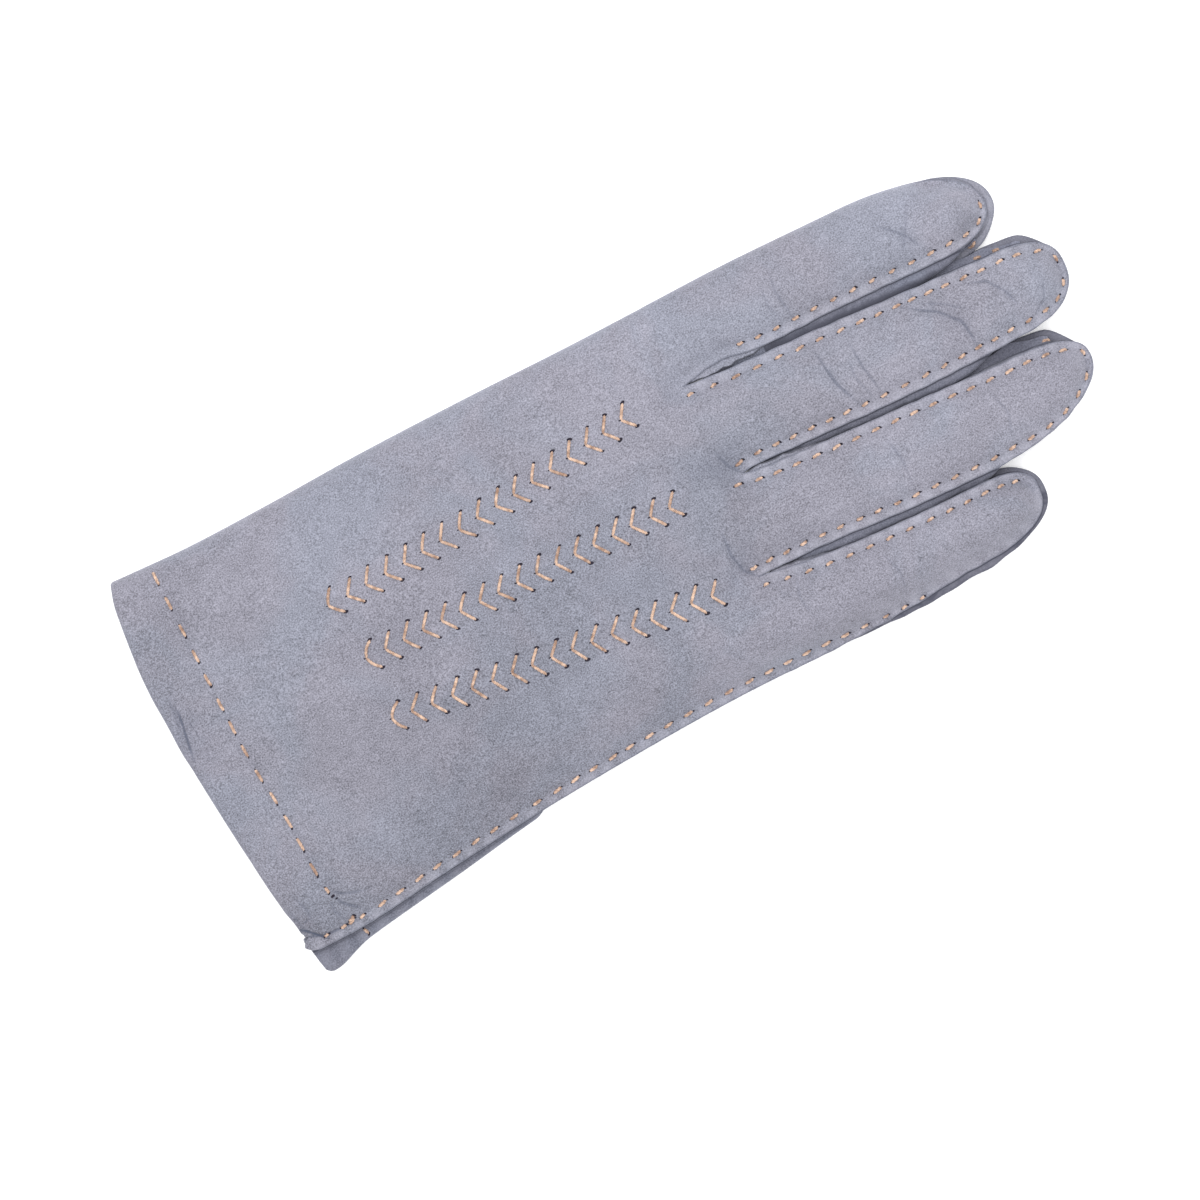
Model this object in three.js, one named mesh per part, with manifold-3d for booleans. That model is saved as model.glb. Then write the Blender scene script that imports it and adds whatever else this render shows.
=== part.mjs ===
// A hand-sewn suede dress glove for the right hand, lying palm down with its thumb folded flat
// under the palm. It is built as a glover cuts it: the trank is one piece of leather that makes
// both the back and the palm, folded along the forefinger side; three forked fourchettes wall the
// sides of the fingers; the thumb is sewn into an oval hole in the palm. Raw edges face outwards.
//
// Millimetres. x runs from the cuff to the fingertips and y from the folded side to the outseam,
// both measured on the lying glove. At the end y is turned over, so that z points up.
import * as THREE from "three";
import { mergeVertices } from "three/addons/utils/BufferGeometryUtils.js";
import Module from "manifold-3d";

const wasm = await Module();
wasm.setup();

// Driving sizes
const leather = 1.0; // thickness of the suede
const seamGap = 0.3; // clearance between two sewn layers
const seamInset = 2.4; // from a raw edge to its row of stitches
const hemDepth = 14.6; // turned-in leather at the cuff
const hemEnd = 9; // the hem's double leather stops this far short of the outseam
const cuffBevel = 0.45; // round of the hem's folded edge
const cuffTop = 13.4; // heights of the back's crown over the table
const palmTop = 13.6;
const fingerTop = 13.0;
const backEdge = 8.7; // upper face of a back edge that a fourchette is sewn under
const palmEdge = 0.8; // lower face of a palm edge that a fourchette is sewn over
const tipSeam = 4.2; // height of the seam round a fingertip
const foldHeight = 6.2; // outermost line of the fold of the forefinger side
const foldRound = 6.5; // how far its round reaches in
const thumbThick = 3.0; // the flattened thumb
// How far in from a seam the back rises, at a finger, a crotch and the outseam; and the palm.
const reach = { finger: 9.4, crotch: 12, outseam: 22, palm: 6 };
const riseRound = 2.3; // the higher, the steeper the rise is beside the seam

// Stretches over which one shape turns into the next: from the cuff's height to the palm's, from
// the palm's to the fingers', from the outseam's reach to a finger's, and of the fold's height.
const turns = {
  cuff: { from: 0, to: 60 },
  knuckles: { from: 118, to: 158 },
  outseam: { from: 110, to: 138 },
  fold: { from: 150, to: 213 },
};
// How long before a fingertip its layers come together, and before the folded one's.
const tipMeets = { seam: 50, walls: 14, fold: 5, foldOpen: 0.15 };

// The hand from the cuff to the knuckles: the two sides, how far the palm rolls out past the
// outseam, and the height of that seam. The roll shows only where the seam lies higher.
const handSections = [
  { x: 0, fold: 2.2, outseam: 100.8, roll: 5.6, seam: 5.6 },
  { x: 20, fold: 2.3, outseam: 101.5, roll: 2.9, seam: 5.2 },
  { x: 45, fold: 1.8, outseam: 98.7, roll: 2.3, seam: 4.8 },
  { x: 70, fold: 0.9, outseam: 96.3, roll: 1.0, seam: 4.4 },
  { x: 100, fold: 0.6, outseam: 94.4, roll: 0, seam: 2.6 },
  { x: 125, fold: 0.7, outseam: 93.5, roll: 0, seam: 2.1 },
  { x: 150, fold: 0.4, outseam: 93.7, roll: 0, seam: 2.1 },
];

const rollSeam = { from: 4.1, to: 4.5 };

// The cuff's edge bows towards the wrist.
const cuffSections = [
  { y: 2, x: 2.9 },
  { y: 10, x: 1.5 },
  { y: 28, x: 0.0 },
  { y: 50, x: 0.9 },
  { y: 70, x: 2.7 },
  { y: 90, x: 4.8 },
  { y: 101, x: 6.2 },
];

// Where the slits between the fingers end. The first and last rows are the sides of the hand.
const crotches = [
  { x: 146, y: 0.4 },
  { x: 145.5, y: 21.75 },
  { x: 149, y: 46.45 },
  { x: 141, y: 69.95 },
  { x: 138, y: 93.6 },
];

// Each finger's two sides on the back, as far as the shoulder where the round of the tip starts.
const fingers = [
  {
    name: "index",
    tip: { x: 229.6, y: 14.5 },
    near: {
      shoulder: 195,
      power: 2.0,
      line: [
        { x: 146, y: 0.4 },
        { x: 168, y: 0.1 },
        { x: 195, y: 0.6 },
      ],
    },
    far: {
      shoulder: 214,
      power: 2.3,
      line: [
        { x: 145.5, y: 21.75 },
        { x: 165, y: 21.6 },
        { x: 185, y: 21.7 },
        { x: 214, y: 22.6 },
      ],
    },
  },
  {
    name: "middle",
    tip: { x: 239.9, y: 35.5 },
    near: {
      shoulder: 222,
      power: 2.6,
      line: [
        { x: 145.5, y: 21.75 },
        { x: 170, y: 23.2 },
        { x: 200, y: 25.2 },
        { x: 222, y: 26.9 },
      ],
    },
    far: {
      shoulder: 222,
      power: 2.5,
      line: [
        { x: 149, y: 46.45 },
        { x: 165, y: 45.9 },
        { x: 190, y: 46.9 },
        { x: 222, y: 47.2 },
      ],
    },
  },
  {
    name: "ring",
    tip: { x: 235.2, y: 58.5 },
    near: {
      shoulder: 215,
      power: 2.6,
      line: [
        { x: 149, y: 46.45 },
        { x: 165, y: 47.9 },
        { x: 190, y: 49.4 },
        { x: 215, y: 51.0 },
      ],
    },
    far: {
      shoulder: 203,
      power: 2.0,
      line: [
        { x: 141, y: 69.95 },
        { x: 160, y: 70.4 },
        { x: 180, y: 71.9 },
        { x: 203, y: 72.7 },
      ],
    },
  },
  {
    name: "little",
    tip: { x: 210.4, y: 81.5 },
    near: {
      shoulder: 198,
      power: 2.6,
      line: [
        { x: 141, y: 69.95 },
        { x: 155, y: 72.2 },
        { x: 175, y: 73.8 },
        { x: 198, y: 74.5 },
      ],
    },
    far: {
      shoulder: 186,
      power: 2.2,
      line: [
        { x: 138, y: 93.6 },
        { x: 150, y: 93.7 },
        { x: 172, y: 93.0 },
        { x: 186, y: 91.8 },
      ],
    },
  },
];

// The palm side of each finger lies a little off its back: how far its two edges and its tip are
// moved, and over which stretch of x each edge moves.
const palmShifts = [
  { near: -0.9, nearFrom: 213, nearTo: 221, far: 1.9, farFrom: 150, farTo: 178, tip: 2.1 },
  { near: -2.0, nearFrom: 192, nearTo: 222, far: -0.3, farFrom: 160, farTo: 190, tip: -0.3 },
  { near: -3.8, nearFrom: 197, nearTo: 221, far: -0.4, farFrom: 160, farTo: 190, tip: -0.4 },
  { near: -1.5, nearFrom: 180, nearTo: 202, far: 1.9, farFrom: 158, farTo: 186, tip: 1.3 },
];
const tipBlend = 7; // the last stretch, in which a palm edge comes back to the tip
const tipShift = 16; // and the stretch over which the palm's tip is moved along

// Shallow dents and creases of the back, where the empty leather has sunk in.
const dents = [
  { name: "cuff", x: 3, y: 42, long: 8, wide: 9, depth: 0.6 },
  { name: "beside the little crotch", x: 137, y: 65, long: 6, wide: 6, depth: 0.9 },
  { name: "beside the ring crotch", x: 146, y: 43, long: 5, wide: 6, depth: 0.8 },
  { name: "index knuckle", x: 176, y: 12, long: 4, wide: 8, depth: 0.4 },
  { name: "index tip", x: 209, y: 14, long: 5, wide: 6, depth: 0.5 },
  { name: "middle knuckle", x: 178, y: 37, long: 4, wide: 8, depth: 0.5 },
  { name: "middle tip", x: 209, y: 38, long: 5, wide: 7, depth: 0.5 },
];

// The thumb lies flat under the palm, from its oval hole towards the root of the ring finger.
const thumb = {
  base: { x: 74, y: 25, radius: 17 },
  tip: { x: 116, y: 50, radius: 10.5 },
  hole: { along: 5, long: 36, wide: 22 },
  margin: 5.5, // the palm lies flat on the thumb and this far round it
  ramp: 9, // then it comes down to the table over this distance
  lift: 1.2, // how much higher the back's crown is over the thumb
};

// Where the rows and columns of the leather's surface lie, from the cuff, the crotches and the
// raw edges.
const hemRows = [0, 1.4, 7.5, hemDepth - 0.5, hemDepth + 0.5];
const handStations = 11;
const crotchRows = [8, 3.5];
const straightRows = 7;
const tipRound = 9.5; // how far the middle of a tip's round lies in from the tip
const tipAngles = [11, 22, 44, 66, 90];
const middleRoom = 2.5; // from the last column to the finger's middle, at least
const sewnColumns = [0, seamInset, 4.3, 6.9];
const foldColumns = [0, 0.5, 1.7, 3.6, 6.3];
const tipColumns = [0, 1.2, seamInset, 4.3, 6.9];
const rollColumns = [0, seamInset, 2.9, 3.6, 4.4, 5.5, 7.6];
const rollStart = seamInset + 0.1; // where the palm's roll beside the cuff leaves the seam

// The fourchettes
const forkGap = seamGap + 0.1; // from a lip to the leather that it is sewn to
const lipStart = 0.2; // of a lip, in from the raw edge that it is sewn to
const wallIn = seamInset + 0.9; // inner face of the wall between the lips
const paredIn = seamInset - 0.4; // the same where the fourchette is pared flat
const paredHeight = 1.6; // it is flat where it is no higher than this
const forkBow = 0.12; // how far the wall bows out, as a share of its height
const forkAngles = [-80, -40, 0, 40, 80]; // of its sections round a crotch
const forkRows = straightRows + 2; // of a finger, that it runs along
const lipShare = 0.45; // the most that a lip takes of the height between the layers
const pareSlant = 0.6; // how much sooner it is pared flat where the two edges lie apart
const pareEase = 2; // the height over which it opens from flat to hollow

// The thumb's sections: where they lie, as shares of its length, the points of each, the power
// that squares it, and the half width of the blunt ends
const thumbStops = [0, 0.03, 0.09, 0.17, 0.28, 0.4, 0.52, 0.64, 0.75, 0.85, 0.92, 0.975, 1];
const thumbRing = 20;
const thumbSquare = 0.45;
const thumbBlunt = 2.2;
const holeSegments = 20;

const clamp = (t) => Math.min(1, Math.max(0, t));
const smooth = (t) => clamp(t) ** 2 * (3 - 2 * clamp(t));
const during = ({ from, to }, x) => smooth((x - from) / (to - from));
const mix = (a, b, t) => a + (b - a) * t;

// A smooth curve through the rows of a table, as a function of the column that orders them.
function through(rows, order, value) {
  const slope = rows.map((row, i) => {
    const a = rows[Math.max(0, i - 1)];
    const b = rows[Math.min(rows.length - 1, i + 1)];
    return (b[value] - a[value]) / (b[order] - a[order]);
  });
  return (at) => {
    const next = rows.findIndex((row) => row[order] > at);
    const i = next < 0 ? rows.length - 2 : Math.max(0, next - 1);
    const span = rows[i + 1][order] - rows[i][order];
    const t = clamp((at - rows[i][order]) / span);
    const bend = t * (1 - t) * ((1 - t) * slope[i] - t * slope[i + 1]);
    return mix(rows[i][value], rows[i + 1][value], smooth(t)) + span * bend;
  };
}

const hand = {};
for (const column of ["fold", "outseam", "roll", "seam"])
  hand[column] = through(handSections, "x", column);
const cuffEdge = through(cuffSections, "y", "x");
for (const finger of fingers)
  for (const side of ["near", "far"])
    finger[side].at = through(finger[side].line, "x", "y");

// The back's outline: y of one side of a finger at x. Past the shoulder it rounds in to the tip.
function backSide(finger, side, x) {
  const { shoulder, power, at } = finger[side];
  if (x <= shoulder) return at(x);
  const along = (x - shoulder) / (finger.tip.x - shoulder);
  const open = Math.max(0, 1 - along ** power) ** (1 / power);
  return finger.tip.y + (at(shoulder) - finger.tip.y) * open;
}

// A point of either layer's outline. The palm's is the back's, moved by its row of palmShifts.
function outline(layer, index, side, x) {
  const finger = fingers[index];
  const y = backSide(finger, side, x);
  if (layer === "back") return { x, y };
  const shift = palmShifts[index];
  const [from, to] = [shift[side + "From"], shift[side + "To"]];
  const away = smooth((finger.tip.x - x) / tipBlend);
  return {
    x: x + shift.tip * smooth((x - finger.tip.x + tipShift) / tipShift),
    y: y + shift[side] * during({ from, to }, x) * away,
  };
}

// How much of the thumb's height a place on the palm is lifted by.
function thumbLift(x, y) {
  const { base, tip, margin, ramp } = thumb;
  const run = { x: tip.x - base.x, y: tip.y - base.y };
  const t = clamp(((x - base.x) * run.x + (y - base.y) * run.y) / (run.x ** 2 + run.y ** 2));
  const away = Math.hypot(x - base.x - t * run.x, y - base.y - t * run.y);
  return 1 - smooth((away - mix(base.radius, tip.radius, t) - margin) / ramp);
}

// Height of the outer face of each layer away from its edges.
function crown(x, y) {
  const handTop = mix(cuffTop, palmTop, during(turns.cuff, x));
  let top = mix(handTop, fingerTop, during(turns.knuckles, x));
  for (const { x: dentX, y: dentY, long, wide, depth } of dents)
    top -= depth * Math.exp(-(((x - dentX) / long) ** 2) - ((y - dentY) / wide) ** 2);
  return top + thumb.lift * thumbLift(x, y);
}
const palmFloor = (x, y) => (thumbThick + seamGap) * thumbLift(x, y);
const flatHeight = (layer, x, y) => (layer === "back" ? crown(x, y) : palmFloor(x, y));

// Height of the outer face at a raw edge. open is 1 where a fourchette holds the two layers
// apart, and 0 where they are sewn straight to each other at the height of the seam.
function edgeHeight(layer, open, seam) {
  const pinched = leather + seamGap / 2;
  if (layer === "back") return mix(seam + pinched, backEdge, open);
  return mix(seam - pinched, palmEdge, open);
}
function fingerEdge(layer, index, side, x) {
  const toTip = fingers[index].tip.x - x;
  if (index === 3 && side === "far")
    return edgeHeight(layer, 0, mix(tipSeam, hand.seam(x), smooth(toTip / tipMeets.seam)));
  if (index === 0 && side === "near")
    return edgeHeight(layer, tipMeets.foldOpen * smooth(toTip / tipMeets.fold), tipSeam);
  return edgeHeight(layer, during({ from: 1, to: tipMeets.walls }, toTip), tipSeam);
}

// The rise from a sewn edge to the crown, at a distance from the raw edge.
function rise(distance, reach) {
  const t = clamp((distance - seamInset) / (reach - seamInset));
  return 1 - (1 - t) ** riseRound;
}

// The fold of the forefinger side is round, from its outermost line in to the layer's own height.
function foldRounded(x, distance, flat) {
  const line = mix(foldHeight, tipSeam, during(turns.fold, x));
  return mix(line, flat, Math.sqrt(1 - (1 - clamp(distance / foldRound)) ** 2));
}

// A place on the hand: the outseam pinches the layers, the crotches hold them, the fold is round.
function handPoint(layer, x, y) {
  const isBack = layer === "back";
  let z = flatHeight(layer, x, y);
  for (const crotch of crotches.slice(1, -1)) {
    const away = Math.hypot(x - crotch.x, y - crotch.y);
    z = mix(edgeHeight(layer, 1, tipSeam), z, rise(away, isBack ? reach.crotch : reach.palm));
  }
  const pinch = mix(reach.outseam, reach.finger, during(turns.outseam, x));
  const fromOutseam = hand.outseam(x) - y;
  z = mix(edgeHeight(layer, 0, hand.seam(x)), z, rise(fromOutseam, isBack ? pinch : reach.palm));
  return new THREE.Vector3(x, y, foldRounded(x, y - hand.fold(x), z));
}

// A place on a finger, at a distance from its edge. edgeX is where its row meets that edge.
function fingerPoint(layer, index, side, { x, y }, distance, edgeX) {
  const flat = flatHeight(layer, x, y);
  const isFold = index === 0 && side === "near" && edgeX <= turns.fold.to;
  if (isFold) return new THREE.Vector3(x, y, foldRounded(edgeX, distance, flat));
  const share = rise(distance, layer === "back" ? reach.finger : reach.palm);
  return new THREE.Vector3(x, y, mix(fingerEdge(layer, index, side, edgeX), flat, share));
}

// How far in from the edge the points of a row lie, up to the middle of the finger.
function columnsOf(layer, index, side, x) {
  if (index === 0) return side === "near" && x <= turns.fold.to ? foldColumns : tipColumns;
  return layer === "palm" && index === 3 ? rollColumns : sewnColumns;
}

function rowPlaces(columns, edge, middle) {
  const length = Math.hypot(middle.x - edge.x, middle.y - edge.y);
  const room = (length - middleRoom - seamInset) / (columns.at(-1) - seamInset);
  const places = columns.map((column) => {
    const distance = column + Math.min(0, room - 1) * Math.max(0, column - seamInset);
    const t = distance / length;
    return { x: mix(edge.x, middle.x, t), y: mix(edge.y, middle.y, t), distance };
  });
  return [...places, { ...middle, distance: Infinity }];
}

// The rows of half a finger beyond its root: where each meets the edge, and the place on the
// finger's middle that it runs to. The last ones, round the tip, all run to the middle of it.
function rowFrames(layer, index, side) {
  const { tip } = fingers[index];
  const [rootNear, rootFar] = [crotches[index], crotches[index + 1]];
  const root = side === "near" ? rootNear : rootFar;
  const start = { x: (rootNear.x + rootFar.x) / 2, y: (rootNear.y + rootFar.y) / 2 };
  const roundX = tip.x - tipRound;
  const [endNear, endFar] = ["near", "far"].map((s) => outline(layer, index, s, roundX));
  const end = { x: endNear.x, y: (endNear.y + endFar.y) / 2 };
  const frames = [{ x: root.x, edge: root, middle: start }];
  for (let i = 1; i <= straightRows; i++) {
    const t = i / straightRows;
    const x = mix(root.x, roundX, t);
    const middle = { x: mix(start.x, end.x, t), y: mix(start.y, end.y, t) };
    frames.push({ x, edge: outline(layer, index, side, x), middle });
  }
  for (const degrees of tipAngles) {
    const x = roundX + tipRound * Math.sin(THREE.MathUtils.degToRad(degrees));
    frames.push({ x, edge: outline(layer, index, side, x), middle: end });
  }
  return frames;
}

function fingerRows(layer, index, side) {
  return rowFrames(layer, index, side).map(({ x, edge, middle }, row) => {
    const places = rowPlaces(columnsOf(layer, index, side, x), edge, middle);
    return places.map((place) =>
      row
        ? fingerPoint(layer, index, side, place, place.distance, x)
        : handPoint(layer, place.x, place.y),
    );
  });
}

// The same strip of leather from the cuff up to a finger's root row. Every point of that row is
// carried down the hand at the same share of its width.
function handRows(layer, rootRow) {
  const [first, last] = [crotches[0], crotches.at(-1)];
  const columns = rootRow.map((root, column) => {
    const share = (root.y - first.y) / (last.y - first.y);
    const across = (x) => mix(hand.fold(x), hand.outseam(x), share);
    const cuffX = cuffEdge(across(2));
    const stops = hemRows.map((depth) => cuffX + depth);
    const [start, end] = [stops.at(-1), root.x - crotchRows[0]];
    for (let i = 1; i <= handStations; i++) stops.push(mix(start, end, i / handStations));
    stops.push(...crotchRows.slice(1).map((short) => root.x - short));
    return stops.map((x, row) => {
      const point = handPoint(layer, x, across(x));
      const inwards = Math.min(point.y - hand.fold(x), hand.outseam(x) - point.y - seamInset);
      const bevel = row ? 0 : cuffBevel * clamp(inwards / foldRound);
      point.z += layer === "back" ? -bevel : bevel;
      return point;
    });
  });
  return columns[0].map((_, row) => columns.map((column) => column[row]));
}

// Beside the cuff the palm's leather rolls out under the outseam before it turns to the table.
function rollPalm(rows) {
  for (const row of rows)
    rollShape(row[0].x).forEach(({ out, z }, i) => {
      const point = row[i + 2];
      const amount = during(rollSeam, hand.seam(point.x));
      point.y = mix(point.y, hand.outseam(point.x) + out, amount);
      point.z = mix(point.z, z, amount);
    });
}
function rollShape(x) {
  const top = edgeHeight("palm", 0, hand.seam(x)) - 2 * seamGap;
  const out = hand.roll(x);
  return [
    { out: -rollStart, z: top },
    { out: out - leather, z: top },
    { out, z: top / 2 },
    { out: out - leather - seamGap, z: seamGap / 3 },
  ];
}

const sharpest = 0.7; // how much of a normal's length a bend may take away

// A sheet of leather: quads between rows of points, thickened inwards into one closed solid.
class Sheet {
  points = [];
  keys = new Map();
  faces = [];
  id(point) {
    const key = [point.x, point.y, point.z].map((v) => Math.round(v * 1e4)).join();
    if (!this.keys.has(key)) {
      this.keys.set(key, this.points.length);
      this.points.push(point);
    }
    return this.keys.get(key);
  }
  triangle(a, b, c) {
    if (a !== b && b !== c && c !== a) this.faces.push([a, b, c]);
  }
  grid(rows, turned) {
    for (let i = 0; i + 1 < rows.length; i++)
      for (let j = 0; j + 1 < rows[i].length; j++) {
        const [a, b] = [this.id(rows[i][j]), this.id(rows[i][j + 1])];
        const [d, c] = [this.id(rows[i + 1][j]), this.id(rows[i + 1][j + 1])];
        this.triangle(a, ...(turned ? [b, c] : [c, b]));
        this.triangle(a, ...(turned ? [c, d] : [d, c]));
      }
  }
  // Each point's normal is the mean of its faces', weighed by their corners there. It is made
  // longer at a bend, so that the leather keeps its thickness.
  normals() {
    const sums = this.points.map(() => ({ normal: new THREE.Vector3(), angle: 0 }));
    for (const face of this.faces) {
      const triangle = new THREE.Triangle(...face.map((i) => this.points[i]));
      const normal = triangle.getNormal(new THREE.Vector3());
      face.forEach((i, corner) => {
        const [p, q] = [1, 2].map((step) => this.points[face[(corner + step) % 3]].clone());
        const angle = p.sub(this.points[i]).angleTo(q.sub(this.points[i]));
        sums[i].normal.addScaledVector(normal, angle);
        sums[i].angle += angle;
      });
    }
    return sums.map(({ normal, angle }) => {
      const bend = Math.max(sharpest, normal.length() / angle);
      return normal.normalize().divideScalar(bend);
    });
  }
  solid(thickness) {
    const count = this.points.length;
    const normals = this.normals();
    const inner = this.points.map((point, i) =>
      point.clone().addScaledVector(normals[i], -thickness(point)),
    );
    const rim = new Map();
    for (const face of this.faces)
      face.forEach((a, i) => {
        const b = face[(i + 1) % 3];
        if (!rim.delete(b + "," + a)) rim.set(a + "," + b, [a, b]);
      });
    const index = this.faces.flatMap(([a, b, c]) => [a, b, c, c + count, b + count, a + count]);
    for (const [a, b] of rim.values())
      index.push(b, a, a + count, b, a + count, b + count);
    return meshOf([...this.points, ...inner], index);
  }
}

function meshOf(points, index) {
  const geometry = new THREE.BufferGeometry().setFromPoints(points);
  geometry.setIndex(index);
  return geometry;
}

// The hem is double leather, but for the last of it beside the outseam.
function trankThickness({ x, y }) {
  const inHem = x - cuffEdge(y) < hemDepth && hand.outseam(x) - y > hemEnd;
  return inHem ? 2 * leather : leather;
}

function makeTrank() {
  const sheet = new Sheet();
  for (const layer of ["back", "palm"])
    for (const index of fingers.keys())
      for (const side of ["near", "far"]) {
        const fingerPart = fingerRows(layer, index, side);
        const handPart = handRows(layer, fingerPart[0]);
        if (layer === "palm" && index === 3 && side === "far") rollPalm(handPart);
        sheet.grid([...handPart, ...fingerPart], (side === "far") === (layer === "back"));
      }
  return sheet.solid(trankThickness);
}

// The way a fourchette takes: down one finger, round the crotch, and up the next finger. Each
// step has the raw edges of both layers and the way in from them.
function forkPath(gap) {
  const crotch = crotches[gap + 1];
  const arm = (index, side) => {
    const [backFrames, palmFrames] = ["back", "palm"].map((layer) => rowFrames(layer, index, side));
    return backFrames.slice(1, forkRows + 1).map((back, i) => {
      const edges = [back, palmFrames[i + 1]].map(({ edge, middle }) => {
        const length = Math.hypot(middle.x - edge.x, middle.y - edge.y);
        const inward = { x: (middle.x - edge.x) / length, y: (middle.y - edge.y) / length };
        return { point: edge, inward };
      });
      return { index, side, x: back.x, edges };
    });
  };
  const bend = forkAngles.map((degrees) => {
    const angle = THREE.MathUtils.degToRad(degrees);
    const edge = { point: crotch, inward: { x: -Math.cos(angle), y: Math.sin(angle) } };
    return { index: gap, side: "far", x: crotch.x, edges: [edge, edge] };
  });
  return [...arm(gap, "far").reverse(), ...bend, ...arm(gap + 1, "near")];
}

// A C-section: one lip lies under the back's edge, the other over the palm's, and the wall
// between them bows out a little. Towards the fingertips it is pared down to a flat tongue.
function forkSection({ index, side, x, edges: [upperEdge, lowerEdge] }) {
  const top = fingerEdge("back", index, side, x) - leather - forkGap;
  const foot = fingerEdge("palm", index, side, x) + leather + forkGap;
  const lip = Math.min(leather, lipShare * (top - foot));
  const at = ({ point, inward }, distance, z) =>
    new THREE.Vector3(point.x + inward.x * distance, point.y + inward.y * distance, z);
  const [upper, lower] = [upperEdge.point, lowerEdge.point];
  const slant = Math.hypot(upper.x - lower.x, upper.y - lower.y);
  const hollow = clamp((top - foot - paredHeight - pareSlant * slant) / pareEase);
  const wall = mix(paredIn, wallIn, hollow);
  const slot = mix(lipStart + 0.1, wallIn - leather, hollow);
  const halfway = (inner) => {
    const distance = inner - forkBow * hollow * (top - foot);
    return at(upperEdge, distance, top).lerp(at(lowerEdge, distance, foot), 0.5);
  };
  return [
    at(upperEdge, lipStart, top - lip),
    at(upperEdge, slot, top - lip),
    halfway(slot),
    at(lowerEdge, slot, foot + lip),
    at(lowerEdge, lipStart, foot + lip),
    at(lowerEdge, lipStart, foot),
    at(lowerEdge, wall, foot),
    halfway(wall),
    at(upperEdge, wall, top),
    at(upperEdge, lipStart, top),
  ];
}
const forkCap = [
  [0, 1, 8],
  [0, 8, 9],
  [1, 2, 7],
  [1, 7, 8],
  [2, 3, 6],
  [2, 6, 7],
  [3, 4, 5],
  [3, 5, 6],
];

// A closed loft through sections of equally many points. cap lists the triangles of its ends.
function loft(sections, cap) {
  const ring = sections[0].length;
  const index = [];
  for (let i = 0; i + 1 < sections.length; i++)
    for (let j = 0; j < ring; j++) {
      const [a, b] = [i * ring + j, i * ring + ((j + 1) % ring)];
      index.push(a, b, b + ring, a, b + ring, a + ring);
    }
  const last = (sections.length - 1) * ring;
  for (const [a, b, c] of cap) index.push(c, b, a, last + a, last + b, last + c);
  return meshOf(sections.flat(), index);
}

// The flattened thumb: a pouch, flat above and below, whose outline rounds in at both ends.
// inset makes the same shape smaller all round, for its hollow.
function thumbPouch(inset) {
  const { base, tip } = thumb;
  const length = Math.hypot(tip.x - base.x, tip.y - base.y);
  const along = { x: (tip.x - base.x) / length, y: (tip.y - base.y) / length };
  const [start, end] = [inset - base.radius, length + tip.radius - inset];
  const height = thumbThick / 2 - inset;
  const sections = thumbStops.map((stop) => {
    const from = mix(start, end, stop);
    const radius = mix(base.radius, tip.radius, clamp(from / length)) - inset;
    const over = Math.max(-from, from - length, 0);
    const half = Math.max(thumbBlunt, Math.sqrt(Math.max(0, radius ** 2 - over ** 2)));
    const ring = [];
    for (let j = 0; j < thumbRing; j++) {
      const angle = (2 * Math.PI * (j + 0.5)) / thumbRing;
      const [across, up] = [Math.cos(angle), Math.sin(angle)].map(
        (v) => Math.sign(v) * Math.abs(v) ** thumbSquare,
      );
      const x = base.x + along.x * from - along.y * across * half;
      const y = base.y + along.y * from + along.x * across * half;
      ring.push(new THREE.Vector3(x, y, thumbThick / 2 + height * up));
    }
    return ring;
  });
  const fan = sections[0].slice(2).map((_, i) => [0, i + 1, i + 2]);
  return loft(sections, fan);
}

// A cutter for the oval hole of the thumb, between two heights.
function holeCutter(low, high) {
  const { hole, base, tip } = thumb;
  const turn = Math.atan2(tip.y - base.y, tip.x - base.x);
  const x = base.x + hole.along * Math.cos(turn);
  const y = base.y + hole.along * Math.sin(turn);
  const oval = new THREE.Shape();
  oval.absellipse(x, y, hole.long / 2, hole.wide / 2, 0, 2 * Math.PI, false, turn);
  const options = { depth: high - low, bevelEnabled: false, curveSegments: holeSegments };
  return new THREE.ExtrudeGeometry(oval, options).translate(0, 0, low);
}

function toManifold(geometry) {
  const bare = geometry.index ? geometry.toNonIndexed() : geometry.clone();
  bare.deleteAttribute("normal");
  bare.deleteAttribute("uv");
  const merged = mergeVertices(bare, 1e-4);
  const mesh = new wasm.Mesh({
    numProp: 3,
    vertProperties: merged.attributes.position.array,
    triVerts: new Uint32Array(merged.index.array),
  });
  return new wasm.Manifold(mesh);
}

function fromManifold(solid) {
  const { vertProperties, triVerts, numProp } = solid.getMesh();
  const geometry = new THREE.BufferGeometry();
  geometry.setAttribute("position", new THREE.BufferAttribute(vertProperties, numProp));
  geometry.setIndex(new THREE.BufferAttribute(triVerts, 1));
  return geometry;
}

// From the measuring axes to the model's: y is turned over so that z can point up.
function toModelAxes(geometry) {
  geometry.scale(1, -1, 1);
  geometry.index.array.reverse();
  return geometry;
}

const suede = new THREE.MeshStandardMaterial({ color: 0x8e92a8, roughness: 0.95, metalness: 0 });
const wallSuede = new THREE.MeshStandardMaterial({ color: 0x5f6476, roughness: 0.95, metalness: 0 });

const glove = new THREE.Group();
function add(name, geometry, material) {
  const mesh = new THREE.Mesh(toModelAxes(geometry), material);
  mesh.name = name;
  glove.add(mesh);
}

const palmHole = toManifold(holeCutter(thumbThick - 0.5 * leather, thumbThick + 2 * leather));
const thumbHole = toManifold(holeCutter(thumbThick - 1.5 * leather, thumbThick + leather));
add("trank", fromManifold(toManifold(makeTrank()).subtract(palmHole)), suede);
["fourchette_index_middle", "fourchette_middle_ring", "fourchette_ring_little"].forEach(
  (name, gap) => add(name, loft(forkPath(gap).map(forkSection), forkCap), wallSuede),
);
const pouch = toManifold(thumbPouch(0)).subtract(toManifold(thumbPouch(leather)));
add("thumb", fromManifold(pouch.subtract(thumbHole)), suede);

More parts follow.
